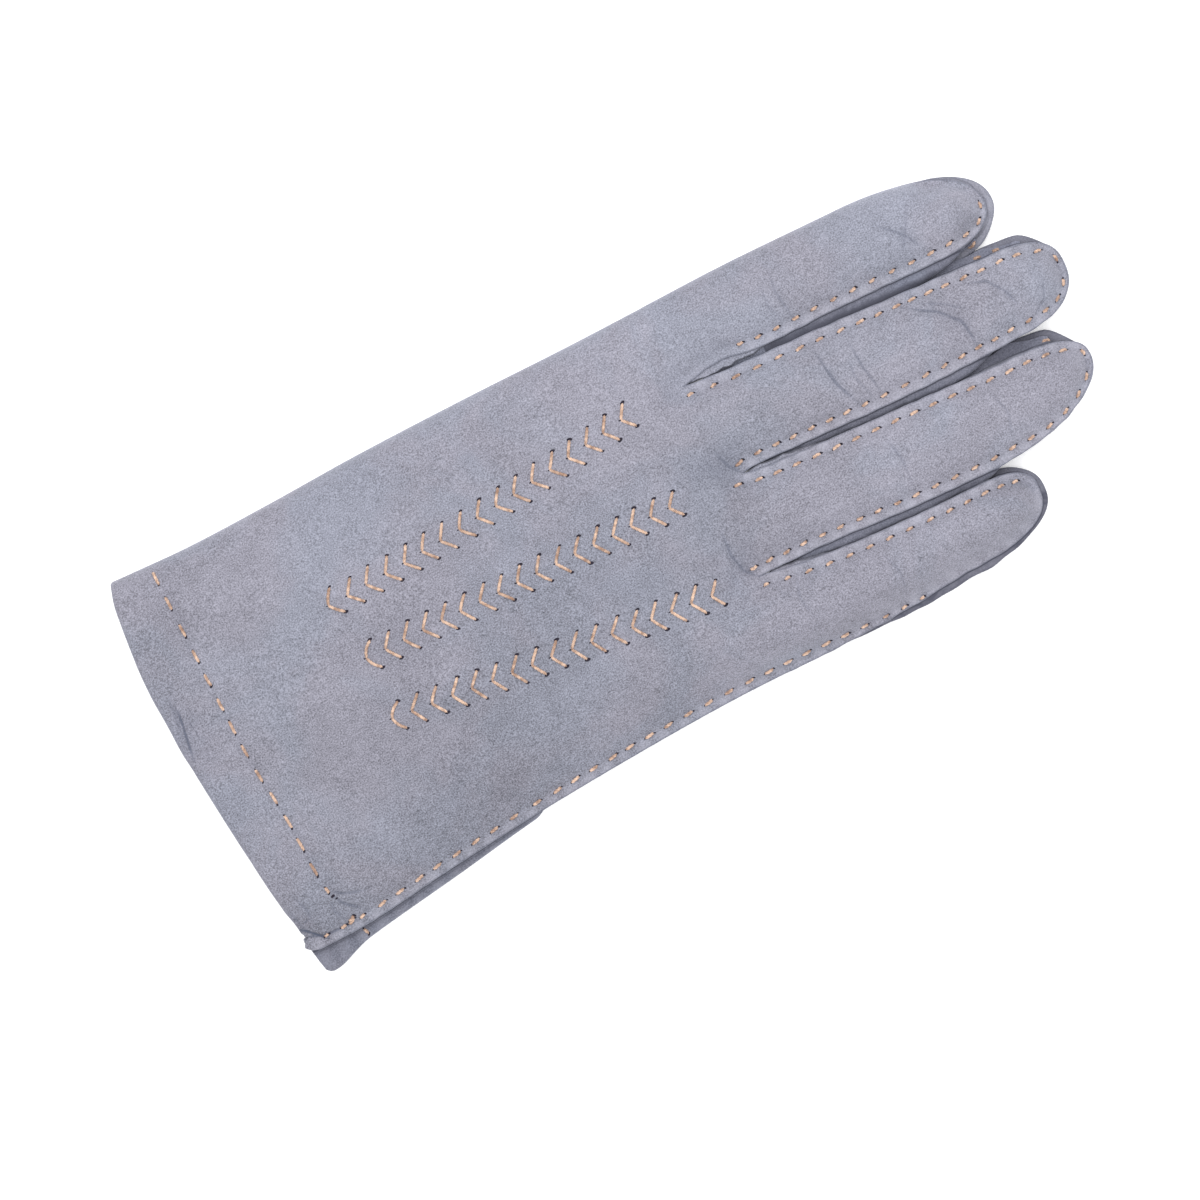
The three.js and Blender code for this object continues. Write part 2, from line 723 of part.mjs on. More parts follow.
// The origin is under the middle of the glove, on the table.
const box = new THREE.Box3().setFromObject(glove);
const middle = box.getCenter(new THREE.Vector3());
for (const mesh of glove.children) mesh.geometry.translate(-middle.x, -middle.y, -box.min.z);

export default glove;
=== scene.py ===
import math
import random
import bpy
import numpy as np
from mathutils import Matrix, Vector
from mathutils.bvhtree import BVHTree


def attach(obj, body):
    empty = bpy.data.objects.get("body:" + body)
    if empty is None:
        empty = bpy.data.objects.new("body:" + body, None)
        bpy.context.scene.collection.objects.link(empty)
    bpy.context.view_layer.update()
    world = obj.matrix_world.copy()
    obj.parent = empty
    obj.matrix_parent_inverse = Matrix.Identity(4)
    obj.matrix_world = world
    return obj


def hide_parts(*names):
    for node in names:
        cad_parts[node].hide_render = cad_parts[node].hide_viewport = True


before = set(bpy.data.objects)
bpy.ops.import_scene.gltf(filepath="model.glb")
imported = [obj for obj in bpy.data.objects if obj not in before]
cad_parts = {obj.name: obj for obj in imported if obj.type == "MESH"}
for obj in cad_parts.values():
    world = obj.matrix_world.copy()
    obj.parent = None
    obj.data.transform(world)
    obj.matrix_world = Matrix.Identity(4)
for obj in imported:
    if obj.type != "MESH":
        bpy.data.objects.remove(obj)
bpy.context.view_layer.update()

# The glove is laid out in millimetres as it lies: x from the cuff to the fingertips, y from the
# folded forefinger side to the outseam, z up. toFrame() turns that into the frame's metres.
layMiddle = (119.944, 52.934)
metre = 0.001
indexNear, littleFar = (0, "near"), (3, "far")  # the folded side, and the side of the outseam
farAway = 99.0  # stands for a place with no raw edge near it

leather = {"thick": 1.0, "gap": 0.3, "seamIn": 2.4, "bulge": 0.14}
cut = {"size": 5.5, "sway": 0.09, "palmSway": 1.6, "tipCalm": 13, "palmTipLong": 16}
heights = {
    "cuff": 13.4, "palm": 13.6, "finger": 12.4,  # crown of the back over the table
    "backEdge": 9.3, "palmEdge": 0.8, "tipSeam": 4.2, "fold": 6.2, "thumb": 3.0, "thumbLift": 1.2,
}
reach = {"finger": 9.6, "crotch": 12, "outseam": 22, "palm": 6, "fold": 6.5, "round": 2.3,
         "backRound": 2.0, "backStart": 0.9}
softStart = 0.14  # how gently the back starts to lift out of its seam
hem = {"depth": 14.6, "end": 9.0, "round": 0.8, "bulge": 0.42}
# where one thing passes over into another, by millimetres along or across the glove
spans = {
    "cuff": (0, 60), "knuckles": (118, 158), "outseam": (110, 138), "fold": (150, 213),
    "toSeam": (0, 50), "toOpen": (1, 14), "toFolded": (0, 5), "opened": (213, 220),
    "tipShape": (213, 219), "littleDepth": (142, 176), "indexSewn": (9, 15), "outseamSewn": (7, 12),
    "outseamEnds": (172, 184), "rolledOver": (158, 178), "hemFromSeam": (8, 12),
    "hemFromFold": (3, 6), "quiet": (0.5, 6.5), "fromFold": (0, 7), "palmIn": (2.5, 7.5),
    "palmFromFold": (5, 11), "palmToSeam": (88, 82), "dusk": (150, 158), "peek": (0, 3),
    "noseShape": (0, 2.5), "hollow": (1, 9), "shortStitch": (148, 173), "lowStitch": (150, 170),
    "creaseEnds": (0, 0.25),  # a share of the crease
}

# The hand's sides, the palm's roll beside the cuff and the height of the outseam, each by x, and
# the cuff's edge by y
hand = {
    "fold": [(0, 1.2), (10, 1.7), (24, 2.2), (45, 1.8), (70, 0.9), (100, 0.6), (125, 0.7), (150, 0.4)],
    "outseam": [(0, 101.5), (20, 101.5), (45, 98.7), (70, 96.3), (100, 94.4), (125, 93.5),
                (150, 93.7)],
    "roll": [(0, 6.7), (9, 5.9), (20, 3.1), (45, 2.3), (70, 1.0), (100, 0), (125, 0), (150, 0)],
    "seam": [(0, 5.6), (20, 5.2), (45, 4.8), (70, 4.4), (100, 2.6), (125, 2.1), (150, 2.1)],
    "cuff": [(2, 2.9), (10, 1.5), (28, 0.0), (50, 0.9), (70, 2.7), (90, 4.8), (101, 6.2)],
    "rollSeam": (4.1, 4.5),  # the palm rolls out where the outseam is this high
}
crotches = [(146, 0.4), (145.5, 21.75), (149, 46.45), (141, 69.95), (138, 93.6)]

# Each finger's tip and two sides: where its round starts, how square that is, and the line up to
# it; then how far the palm's edges and tip lie off the back's, and over how much of the tip
fingers = [
    {"name": "index", "tip": (229.6, 14.5),
     "near": (195, 2.15, [(146, 0.4), (168, 0.1), (195, 0.6)]),
     "far": (214, 2.3, [(145.5, 21.75), (150, 20.9), (154, 20.2), (159, 20.4), (166, 21.6),
                        (185, 21.7), (214, 22.6)]),
     "palmNear": (-0.25, 211, 221, 7), "palmFar": (2.1, 150, 178, 7), "palmTip": 2.1},
    {"name": "middle", "tip": (239.9, 35.5),
     "near": (222, 2.6, [(145.5, 21.75), (150, 22.3), (160, 23.0), (180, 24.1), (200, 25.4),
                         (222, 26.95)]),
     "far": (222, 2.5, [(149, 46.45), (152, 46.05), (160, 46.3), (175, 47.0), (192, 47.7),
                        (210, 47.75), (222, 47.4)]),
     "palmNear": (-2.5, 190, 220, 7), "palmFar": (-0.3, 160, 190, 7), "palmTip": -0.3},
    {"name": "ring", "tip": (235.6, 58.5),
     "near": (215, 2.6, [(149, 46.45), (151, 47.15), (160, 47.9), (175, 48.9), (190, 49.7),
                         (215, 51.2)]),
     "far": (203, 2.0, [(141, 69.95), (160, 70.4), (180, 71.9), (203, 72.7)]),
     "palmNear": (-3.8, 197, 221, 7), "palmFar": (-0.4, 160, 190, 7), "palmTip": -0.4},
    {"name": "little", "tip": (210.4, 81.5),
     "near": (198, 2.6, [(141, 69.95), (155, 72.2), (175, 73.8), (198, 74.5)]),
     "far": (186, 2.5, [(138, 93.6), (150, 93.7), (172, 93.0), (186, 91.8)]),
     "palmNear": (-1.5, 180, 202, 7), "palmFar": (1.5, 150, 180, 20), "palmTip": 1.3},
]

thumb = {
    "base": (74, 25), "baseRadius": 17, "tip": (116, 50), "tipRadius": 10.5,
    "holeAlong": 5, "holeLong": 36, "holeWide": 22, "margin": 5.5, "ramp": 9,
}


def clamp(t):
    return np.clip(t, 0, 1)


def smooth(t):
    return clamp(t) ** 2 * (3 - 2 * clamp(t))


def during(span, x):
    return smooth((x - span[0]) / (span[1] - span[0]))


def over(name, x):
    return during(spans[name], x)


def mix(a, b, t):
    return a + (b - a) * t


def bell(offset, width):
    return np.exp(-(offset / width) ** 2)


def roundEnd(t):
    # how far a quarter circle falls away by t
    return 1 - np.sqrt(1 - clamp(t) ** 2)


def unit(rows):
    return rows / np.maximum(1e-12, np.linalg.norm(rows, axis=1))[:, None]


def runOf(places):
    # the length of a line up to each of its places
    return np.concatenate([[0], np.cumsum(np.linalg.norm(np.diff(places, axis=0), axis=1))])


def curve(rows, at):
    # a smooth line through a short table, with the same slopes as the solids have
    xs, ys = np.array(rows, float).T
    slope = np.empty(len(xs))
    slope[1:-1] = (ys[2:] - ys[:-2]) / (xs[2:] - xs[:-2])
    slope[0] = (ys[1] - ys[0]) / (xs[1] - xs[0])
    slope[-1] = (ys[-1] - ys[-2]) / (xs[-1] - xs[-2])
    i = np.clip(np.searchsorted(xs, at, side="right") - 1, 0, len(xs) - 2)
    span = xs[i + 1] - xs[i]
    t = clamp((at - xs[i]) / span)
    bend = t * (1 - t) * ((1 - t) * slope[i] - t * slope[i + 1])
    return mix(ys[i], ys[i + 1], smooth(t)) + span * bend


def toFrame(points):
    points = np.asarray(points, float)
    x, y, z = points[..., 0], points[..., 1], points[..., 2]
    return np.stack([x - layMiddle[0], layMiddle[1] - y, z], -1) * metre


def sideOf(name, x):
    # a side of the hand, the height of its seam or the palm's roll, at x
    return curve(hand[name], x)


def waves(x, y, size, seed, count=9):
    # a soft random swell of about that size in millimetres, from -1 to 1
    draw = random.Random(seed)
    total = 0
    for _ in range(count):
        turn = draw.uniform(0, 2 * math.pi)
        step = 2 * math.pi / (size * draw.uniform(0.75, 1.6))
        total = total + np.cos(step * (x * math.cos(turn) + y * math.sin(turn))
                               + draw.uniform(0, 2 * math.pi))
    return total / math.sqrt(count) / 1.4


# Shape of the leather as it lies

def backSide(finger, side, x):
    start, power, line = finger[side]
    tipX, tipY = finger["tip"]
    along = clamp((x - start) / (tipX - start))
    end = curve(line, np.minimum(x, start))
    return tipY + (end - tipY) * np.maximum(0, 1 - along ** power) ** (1 / power)


def outline(layer, number, side, x):
    finger = fingers[number]
    # the edges are cut by hand, and pulled in a little by the stitches
    sway = waves(x, 0 * x, cut["size"], 31 + 4 * number + (side == "far") + 2 * (layer == "palm"))
    sway = sway * (cut["palmSway"] if layer == "palm" else 1)
    calm = smooth((finger["tip"][0] - 1 - x) / cut["tipCalm"]) * ((number, side) != indexNear)
    y = backSide(finger, side, x) + cut["sway"] * sway * calm
    if layer == "back":
        return np.stack([x, y], -1)
    tipX = finger["tip"][0]
    shift, start, end, last = finger["palm" + side.capitalize()]
    away = smooth((tipX - x) / last)
    along = finger["palmTip"] * smooth((x - tipX + cut["palmTipLong"]) / cut["palmTipLong"])
    return np.stack([x + along, y + shift * during((start, end), x) * away], -1)


def thumbCover(x, y):
    # 1 where the palm lies on the thumb, 0 where it lies on the table
    (ax, ay), (bx, by) = thumb["base"], thumb["tip"]
    run = (bx - ax, by - ay)
    t = clamp(((x - ax) * run[0] + (y - ay) * run[1]) / (run[0] ** 2 + run[1] ** 2))
    away = np.hypot(x - ax - t * run[0], y - ay - t * run[1])
    radius = mix(thumb["baseRadius"], thumb["tipRadius"], t)
    return 1 - smooth((away - radius - thumb["margin"]) / thumb["ramp"])


def flatHeight(layer, x, y):
    cover = thumbCover(x, y)
    if layer == "palm":
        return (heights["thumb"] + leather["gap"]) * cover
    top = mix(heights["cuff"], heights["palm"], over("cuff", x))
    top = mix(top, heights["finger"], over("knuckles", x))
    return top + heights["thumbLift"] * cover


def edgeHeight(layer, opened, seam):
    pinched = leather["thick"] + leather["gap"] / 2
    if layer == "back":
        return mix(seam + pinched, heights["backEdge"], opened)
    return mix(seam - pinched, heights["palmEdge"], opened)


def fingerEdge(layer, number, side, x):
    toTip = fingers[number]["tip"][0] - x
    if (number, side) == littleFar:
        seam = mix(heights["tipSeam"], sideOf("seam", x), over("toSeam", toTip))
        return edgeHeight(layer, 0, seam)
    if (number, side) == indexNear:
        return edgeHeight(layer, 0.15 * over("toFolded", toTip), heights["tipSeam"])
    return edgeHeight(layer, over("toOpen", toTip), heights["tipSeam"])


def rise(distance, far, layer="palm"):
    if layer == "palm":
        t = clamp((distance - leather["seamIn"]) / (far - leather["seamIn"]))
        return 1 - (1 - t) ** reach["round"]
    # the back lifts softly out of its seam, from inside the raw edge
    t = clamp((distance - reach["backStart"]) / (far - reach["backStart"]))
    soft = t * t / (t + softStart) * (1 + softStart)
    return 1 - (1 - soft) ** reach["backRound"]


def foldHeight(x, distance, flat):
    line = mix(heights["fold"], heights["tipSeam"], over("fold", x))
    rounded = np.sqrt(np.maximum(0, 1 - (1 - clamp(distance / reach["fold"])) ** 2))
    return mix(line, flat, rounded)


def handHeight(layer, x, y):
    z = flatHeight(layer, x, y)
    far = reach["crotch"] if layer == "back" else reach["palm"]
    for cx, cy in crotches[1:-1]:
        away = np.hypot(x - cx, y - cy)
        z = mix(edgeHeight(layer, 1, heights["tipSeam"]), z, rise(away, far, layer))
    pinch = mix(reach["outseam"], reach["finger"], over("outseam", x))
    inFrom = sideOf("outseam", x) - y
    low = edgeHeight(layer, 0, sideOf("seam", x))
    z = mix(low, z, rise(inFrom, pinch if layer == "back" else reach["palm"], layer))
    return foldHeight(x, y - sideOf("fold", x), z)


def fingerHeight(layer, number, side, x, y, distance, edgeX, length):
    flat = flatHeight(layer, x, y)
    far = np.minimum(reach["finger"] if layer == "back" else reach["palm"], length)
    share = rise(distance, far, layer)
    sewn = mix(fingerEdge(layer, number, side, edgeX), flat, share)
    if (number, side) != indexNear:
        return sewn
    folded = foldHeight(edgeX, distance, flat)
    return mix(folded, sewn, over("opened", edgeX))


# Rows and columns of the leather; the columns lie at these distances in from the edge

weave = {
    "handRows": 124, "fingerRows": 100, "palmRows": 50, "tipRows": 14, "tipRound": 9.5,
    "hemRows": [0, 0.35, 0.9, 1.7, 2.7, 3.9, 5.2, 6.5, 7.8, 9.1, 10.3, 11.3, 12.1, 12.7, 13.2,
                13.7, 14.3, 15.0],
    "sewn": [0, 0.5, 1.0, 1.5, 1.95, 2.4, 2.85, 3.35, 4.0, 5.0, 6.2],
    "folded": [0, 0.1, 0.35, 0.75, 1.3, 2.0, 2.8, 3.7, 4.7, 5.7, 6.6],
    "rolled": [0, 0.6, 1.2, 1.8, 2.4, 2.5, 2.65, 2.9, 3.1, 3.35, 3.6, 3.8, 4.0, 4.2, 4.4, 4.65,
               4.95, 5.2, 5.5, 6.0, 6.6, 7.6],
    "palmSewn": [0, 1.2, 2.4, 4.0],
    "palmFolded": [0, 0.5, 1.9, 4.2],
    "inner": 4,  # further columns up to a finger's middle
    "palmInner": 2,
}
# the end of the outseam at the cuff
nose = {"round": 1.2, "out": 1.5, "at": 1.5, "wide": 1.1, "notch": 0.9, "notchAt": 3.7,
        "notchWide": 0.7, "palmRound": 1.6, "palmLean": 0.17, "palmOut": 1.0, "palmFrom": 101,
        "palmFade": 5}


def columnsOf(layer, number, side):
    folded = (number, side) == indexNear
    if layer == "back":
        return weave["folded" if folded else "sewn"], weave["inner"]
    if (number, side) == littleFar:
        return weave["rolled"], weave["palmInner"]
    return weave["palmFolded" if folded else "palmSewn"], weave["palmInner"]


def rowFrames(layer, number, side, rows):
    # where each row of half a finger meets its edge, and the place on the middle it runs to
    tipX = fingers[number]["tip"][0]
    near, far = np.array(crotches[number], float), np.array(crotches[number + 1], float)
    root = near if side == "near" else far
    start = (near + far) / 2
    roundX = tipX - weave["tipRound"]
    endNear, endFar = [outline(layer, number, s, roundX) for s in ("near", "far")]
    end = np.array([endNear[0], (endNear[1] + endFar[1]) / 2])
    t = np.linspace(0, 1, rows + 1)
    angles = np.radians(90) * (np.arange(1, weave["tipRows"] + 1) / weave["tipRows"])
    x = np.concatenate([mix(root[0], roundX, t), roundX + weave["tipRound"] * np.sin(angles)])
    x[-1] = tipX
    edge = outline(layer, number, side, x)
    edge[0] = root
    middle = np.concatenate([start + (end - start) * t[:, None],
                             np.repeat(end[None], weave["tipRows"], 0)])
    return x, edge, middle


def rollLine(x, columns):
    # beside the cuff the palm rolls out under the outseam before it turns to the table
    flange = edgeHeight("palm", 0, sideOf("seam", x))
    top = flange - 2 * leather["gap"]
    out = sideOf("roll", x)
    stops = [2.4, 2.9, 3.6, 4.4, 5.5, 7.6]
    outs = [-2.4 + 0 * out, 0 * out - 2.5, out - 1.0, out, out - 1.3, 0 * out - 7.6]
    downs = [flange, top, top, top / 2, 0 * top + 0.1, 0 * top]
    return [np.array([curve(list(zip(stops, row)), np.array(columns)) for row in np.array(rows).T])
            for rows in (outs, downs)]


def cuffEnd(y):
    # where the leather ends at the cuff; the seam's flange ends in a rounded nose, with a notch
    # above it where the hem stops
    fromSeam = sideOf("outseam", np.full(len(y), 2.0)) - y
    x = sideOf("cuff", y) + hem["round"]
    x = x + nose["round"] * roundEnd(1 - fromSeam / nose["round"])
    x = x - nose["out"] * bell(fromSeam - nose["at"], nose["wide"])
    return x + nose["notch"] * bell(fromSeam - nose["notchAt"], nose["notchWide"])


def columnPlaces(layer, columns, inner, length):
    # how far in from the edge each column lies, squeezed where a finger is narrow
    seamIn, least = leather["seamIn"], 2.5
    room = (length - least - seamIn) / (columns[-1] - seamIn)
    squeeze = np.minimum(0, room - 1)[:, None]
    squeeze[-1] = min(0, (length[-1] - least - seamIn) / (6.2 - seamIn) - 1)
    distance = columns + squeeze * np.maximum(0, columns - seamIn)
    steps = np.linspace(0, 1, inner + 1)[1:]
    distance = np.concatenate([distance, mix(distance[:, -1:], length[:, None], steps)], 1)
    # at its end each half takes the same places, so that the two halves meet
    plain = np.array(weave["sewn" if layer == "back" else "palmSewn"])
    plain = plain + squeeze[-1] * np.maximum(0, plain - seamIn)
    plain = np.concatenate([plain, mix(plain[-1], length[-1], steps)])
    same = len(plain) == distance.shape[1]
    distance[-1] = plain if same else plain[np.abs(plain - distance[-1][:, None]).argmin(1)]
    return distance


def stripOf(layer, number, side):
    # half a finger and the strip of the hand below it, as rows of places
    columns, inner = columnsOf(layer, number, side)
    columns = np.array(columns)
    outer = (number, side) == littleFar
    rows = weave["palmRows" if layer == "palm" and number else "fingerRows"]
    edgeX, edge, middle = rowFrames(layer, number, side, rows)
    length = np.linalg.norm(middle - edge, axis=1)
    distance = columnPlaces(layer, columns, inner, length)
    share = (distance / length[:, None])[..., None]
    place = edge[:, None] + (middle - edge)[:, None] * share
    # down the hand, each column keeps its share of the width
    root = place[0]
    first, last = crotches[0][1], crotches[-1][1]
    part = (root[:, 1] - first) / (last - first)

    def across(x):
        return mix(sideOf("fold", x), sideOf("outseam", x), part)
    hemX = cuffEnd(across(np.full(len(part), 2.0))) + np.array(weave["hemRows"])[:, None]
    t = np.linspace(0, 1, weave["handRows"] + 1)[1:, None]
    handX = np.concatenate([hemX, mix(hemX[-1], root[:, 0], t)])[:-1]
    handY = across(handX)
    handZ = handHeight(layer, handX, handY)
    z = fingerHeight(layer, number, side, place[..., 0], place[..., 1], distance,
                     np.repeat(edgeX[:, None], distance.shape[1], 1), length[:, None])
    z[0] = handHeight(layer, root[:, 0], root[:, 1])
    if layer == "palm" and outer:
        rolled = slice(4, len(columns))
        amount = during(hand["rollSeam"], sideOf("seam", handX[:, 4]))[:, None]
        outs, downs = rollLine(handX[:, 4], columns[rolled])
        outs = sideOf("outseam", handX[:, 4])[:, None] + outs
        handY[:, rolled] = mix(handY[:, rolled], outs, amount)
        handZ[:, rolled] = mix(handZ[:, rolled], downs, amount)
        # its corner at the cuff is rounded too
        low = handY[0, rolled]
        corner = roundEnd(1 - (low.max() - low) / nose["palmRound"])
        plain = sideOf("cuff", low) + nose["palmLean"] * np.maximum(0, low - nose["palmFrom"])
        plain = plain + hem["round"] + nose["palmRound"] * corner
        shift = plain - nose["palmOut"] - handX[0, rolled]
        shift = shift * over("noseShape", low - low.min())
        handX[:, rolled] += shift * bell(handX - handX[0], nose["palmFade"])[:, rolled]
    # millimetres from the nearest raw edge, and along the seam from the crotch or the cuff
    away = np.full(handX.shape, farAway)
    down = np.zeros(handX.shape)
    if outer:
        away = np.minimum(away, sideOf("outseam", handX) - handY)
        down = handX - crotches[number + 1][0]
    fromEdge = np.concatenate([away, distance])
    if (number, side) == indexNear:
        opened = edgeX > spans["fold"][1]
        fromEdge[len(handX):] = np.where(opened[:, None], distance, farAway)
    run = np.repeat(runOf(edge)[:, None], distance.shape[1], 1)
    return {"x": np.concatenate([handX, place[..., 0]]), "y": np.concatenate([handY, place[..., 1]]),
            "z": np.concatenate([handZ, z]), "edge": fromEdge, "along": np.concatenate([down, run]),
            "turned": (side == "far") == (layer == "back"), "key": (number, side)}


# Seams: how the stitches run and how the leather gives under them

# each seam's first stitch and the steps between stitches near the crotch and near the tip, in
# millimetres along the raw edge, and how far single stitches are moved on from there
seams = {  # by the number of the finger, from the forefinger, and its side
    (0, "far"): {"first": 16.6, "step": 4.9, "tipStep": 4.9, "count": 16, "long": 1.2,
                 "moved": [(2, 0), (5, 0.5), (10, 1.6), (14, 2.3)]},
    (1, "near"): {"first": 1.8, "step": 5.75, "tipStep": 4.25, "count": 20, "long": 1.55,
                  "moved": [(8, -0.6), (10, -1.4), (12, -2.9), (15, -3.2), (17, -2.6), (18, -0.9),
                            (19, 1.2)]},
    (1, "far"): {"first": 1.0, "step": 4.6, "tipStep": 4.75, "count": 20, "long": 1.25,
                 "moved": [(6, -0.2), (8, 0.2), (10, 2.0), (13, 2.1), (15, 1.4), (17, 2.0)]},
    (2, "near"): {"first": -0.9, "step": 5.1, "tipStep": 4.8, "count": 20, "long": 1.55,
                  "moved": [(0, -0.2), (2, -1.6), (8, -1.3), (17, -1.2), (18, 0.6)]},
    (2, "far"): {"first": 0.4, "step": 4.6, "tipStep": 5.1, "count": 20, "long": 1.3,
                 "moved": [(0, -0.4), (2, -1.0), (8, -0.6), (14, 0.7), (18, 1.8)]},
    (3, "near"): {"first": 1.0, "step": 5.3, "tipStep": 4.4, "count": 14, "long": 1.25,
                  "moved": [(1, 0.3), (6, 0.7), (9, 2.0), (13, 2.0)]},
}
outseam = {"first": 10.5, "step": 5.27, "count": 32, "long": 1.75, "firstLong": 0.9,
           "onward": -0.5, "outMore": 0.12, "shorter": 0.6, "lower": 0.9,
           "start": {"onward": 0.2, "long": 0.7, "lift": 0.4},  # the stitch at the cuff
           "moved": [(52, 0.3), (62, 0.8), (68, 2.0), (84, 2.0), (94, 1.2), (105, 1.4), (121, 1.9),
                     (131, 1.9), (142, 1.3), (163, 1.1), (173, 0.6)],
           "cuff": [((17.2, 99.4), (18.4, 98.9)), ((17.5, 98.8), (18.6, 98.3)),
                    ((19.5, 102.4), (19.8, 103.4))]}
hemStitch = {"first": 5.5, "step": 6.45, "count": 14, "long": 2.75, "last": 1.1,
             "uneven": 0.06, "under": 0.6,
             "moved": [(0, 0), (3, 1.25), (6, 1.2), (12, 0.9), (13, 0.35)],
             "line": [(0, 13.7), (50, 13.9), (58, 14.3), (71, 15.5), (84, 15.8), (92, 16.4)],
             # the last one pulls a slit towards the outseam, drawn as dark holes of painted shade
             "slit": [(16.8, 91.7, 1.3, 1.1), (17.3, 92.6, 1.1, 0.9)]}


# how far before the tip the stitches start to come nearer the edge, and over how far
tipSeams = {"near": (5, 5), "far": (13, 12), (2, "far"): (27, 12)}
nearer = {"atTip": 1.2, "atLittle": 1.75}


def seamDepth(number, side, x):
    # the stitches come nearer the edge where it rolls over, at the tips and beside the little one
    if (number, side) == littleFar:
        return leather["seamIn"] - nearer["atLittle"] * over("littleDepth", x)
    before, long = tipSeams.get((number, side), tipSeams[side])
    fromTip = x - fingers[number]["tip"][0]
    return leather["seamIn"] - nearer["atTip"] * smooth((fromTip + before) / long)


def stitchPlaces(seam):
    steps = np.linspace(seam["step"], seam["tipStep"], seam["count"] - 1)
    places = np.concatenate([[seam["first"]], seam["first"] + np.cumsum(steps)])
    return places + curve(seam["moved"], np.arange(seam["count"]))


def phaseOf(strip):
    # whole numbers at the middles of the stitches
    x, key = strip["x"], strip["key"]
    if key == littleFar:
        return (x - outseam["first"] - curve(outseam["moved"], x)) / outseam["step"]
    if key not in seams:
        return np.zeros(x.shape)
    places = stitchPlaces(seams[key])
    return np.interp(strip["along"], places, np.arange(len(places)))


# Creases and soft folds of the back. A negative depth stands up. The sharp ones belong to one of
# two sets, and those of one set lie well apart.
creases = [  # half width, depth, set and how dark its painted shade line is, then the line's places
    (0.9, 0.42, 0, 1, [(177.2, 29.5), (177.6, 33), (178.3, 38), (181, 44.3)]),
    (0.7, 0.22, 1, 1, [(183.4, 34), (182.9, 39), (184.6, 44)]),
    (0.9, 0.34, 0, 1, [(185.3, 31), (185.6, 37), (187, 44.3)]),
    (1.0, 0.5, 1, 1, [(201.5, 29.5), (207.5, 33.5), (211.6, 38), (212.3, 44.5)]),
    (0.8, 0.25, 0, 1, [(205, 30), (209, 32), (214, 36)]),
    (0.9, 0.4, 1, 1, [(216.5, 30.5), (221, 32), (224, 36.5), (225, 40)]),
    (0.9, 0.25, 0, 1, [(228, 44.5), (231.5, 42), (233, 38)]),
    (1.0, 0.24, 0, 1, [(175.8, 7), (175.2, 12), (176.2, 18.5)]),
    (0.8, 0.18, 1, 1, [(172.5, 9), (172.2, 14), (173.4, 18)]),
    (1.4, 0.32, 0, 1, [(204, 9), (208.5, 13.5), (211, 18)]),
    (1.3, 0.2, 1, 1, [(212, 8), (209, 13), (206.5, 17)]),
    (0.7, 0.35, 0, 1, [(149, 46.3), (146.8, 43.8), (145.2, 39.5)]),
    (0.9, 0.5, 1, 1, [(141, 69.8), (138.8, 67.4), (137.6, 63), (138, 57)]),
    (1.4, 0.25, None, 1, [(145.5, 21.9), (141.5, 23.4), (137, 26.5)]),
    (1.6, 0.35, None, 1, [(144.5, 48), (142.6, 54), (141.9, 60), (140.5, 66)]),
    (2.2, 0.3, None, 1, [(138.5, 67), (134, 70.5), (128, 72)]),
    (2.4, 0.3, None, 1, [(147, 44.5), (142, 42), (135, 41)]),
    (2.2, 0.3, None, 1, [(144.5, 22), (139, 22), (132, 20)]),
    (1.3, 0.22, 0, 1, [(149, 74.5), (147.5, 79), (148.5, 84)]),
    (1.1, 0.22, 1, 1, [(170, 79), (171.5, 84), (171, 89)]),
    (1.1, 0.24, 1, 1, [(183, 55), (184, 61), (183.5, 67)]),
    (1.3, 0.24, 0, 1, [(210, 57), (211.5, 62), (210, 67)]),
    (0.7, 0.4, 0, 1, [(17, 90.5), (19.5, 92.5), (24.5, 94.0)]),
    (0.7, 0.45, 1, 1, [(16.6, 91.5), (18.2, 94.5), (21.5, 97.3)]),
    (0.7, 0.3, 0, 1, [(15.8, 92.5), (15.4, 95.5), (17, 98.2)]),
    (0.6, 0.5, 0, 2.3, [(5.4, 95.0), (7.6, 96.6), (10, 99.3), (11, 100)]),
    (0.5, 0.4, 1, 1.5, [(5.0, 97.4), (8.0, 98.1), (10.5, 99.3), (14, 99.4), (19, 99.5)]),
    (1.2, 0.3, 0, 1, [(8.5, 88), (9.8, 92), (9.3, 96)]),
    (0.9, 0.28, 1, 1, [(5.8, 90), (6.4, 93), (7.4, 96)]),
    (0.9, 0.4, 0, 1.9, [(4.0, 35.6), (3.9, 37.8), (3.35, 40.6), (2.7, 44.8), (2.2, 48.1)]),
    (0.8, 0.22, 1, 1, [(3.4, 32.6), (3.2, 35.5), (2.9, 38.6), (2.4, 41.5)]),
    (1.8, -0.1, None, 1, [(19.5, 30), (19.9, 55), (21.5, 80)]),
]
# soft dents of the back: a place, two half widths and a depth
dents = [(3, 42, 8, 9, 0.5), (137, 65, 6, 6, 0.5), (146, 43, 5, 6, 0.45), (176, 12, 4, 8, 0.3),
         (209, 14, 5, 6, 0.5), (178, 37, 4, 8, 0.3), (209, 38, 5, 7, 0.4), (118, 60, 16, 12, 0.35),
         (60, 75, 22, 12, 0.35), (36, 20, 14, 10, 0.3), (97, 12, 18, 7, 0.25)]


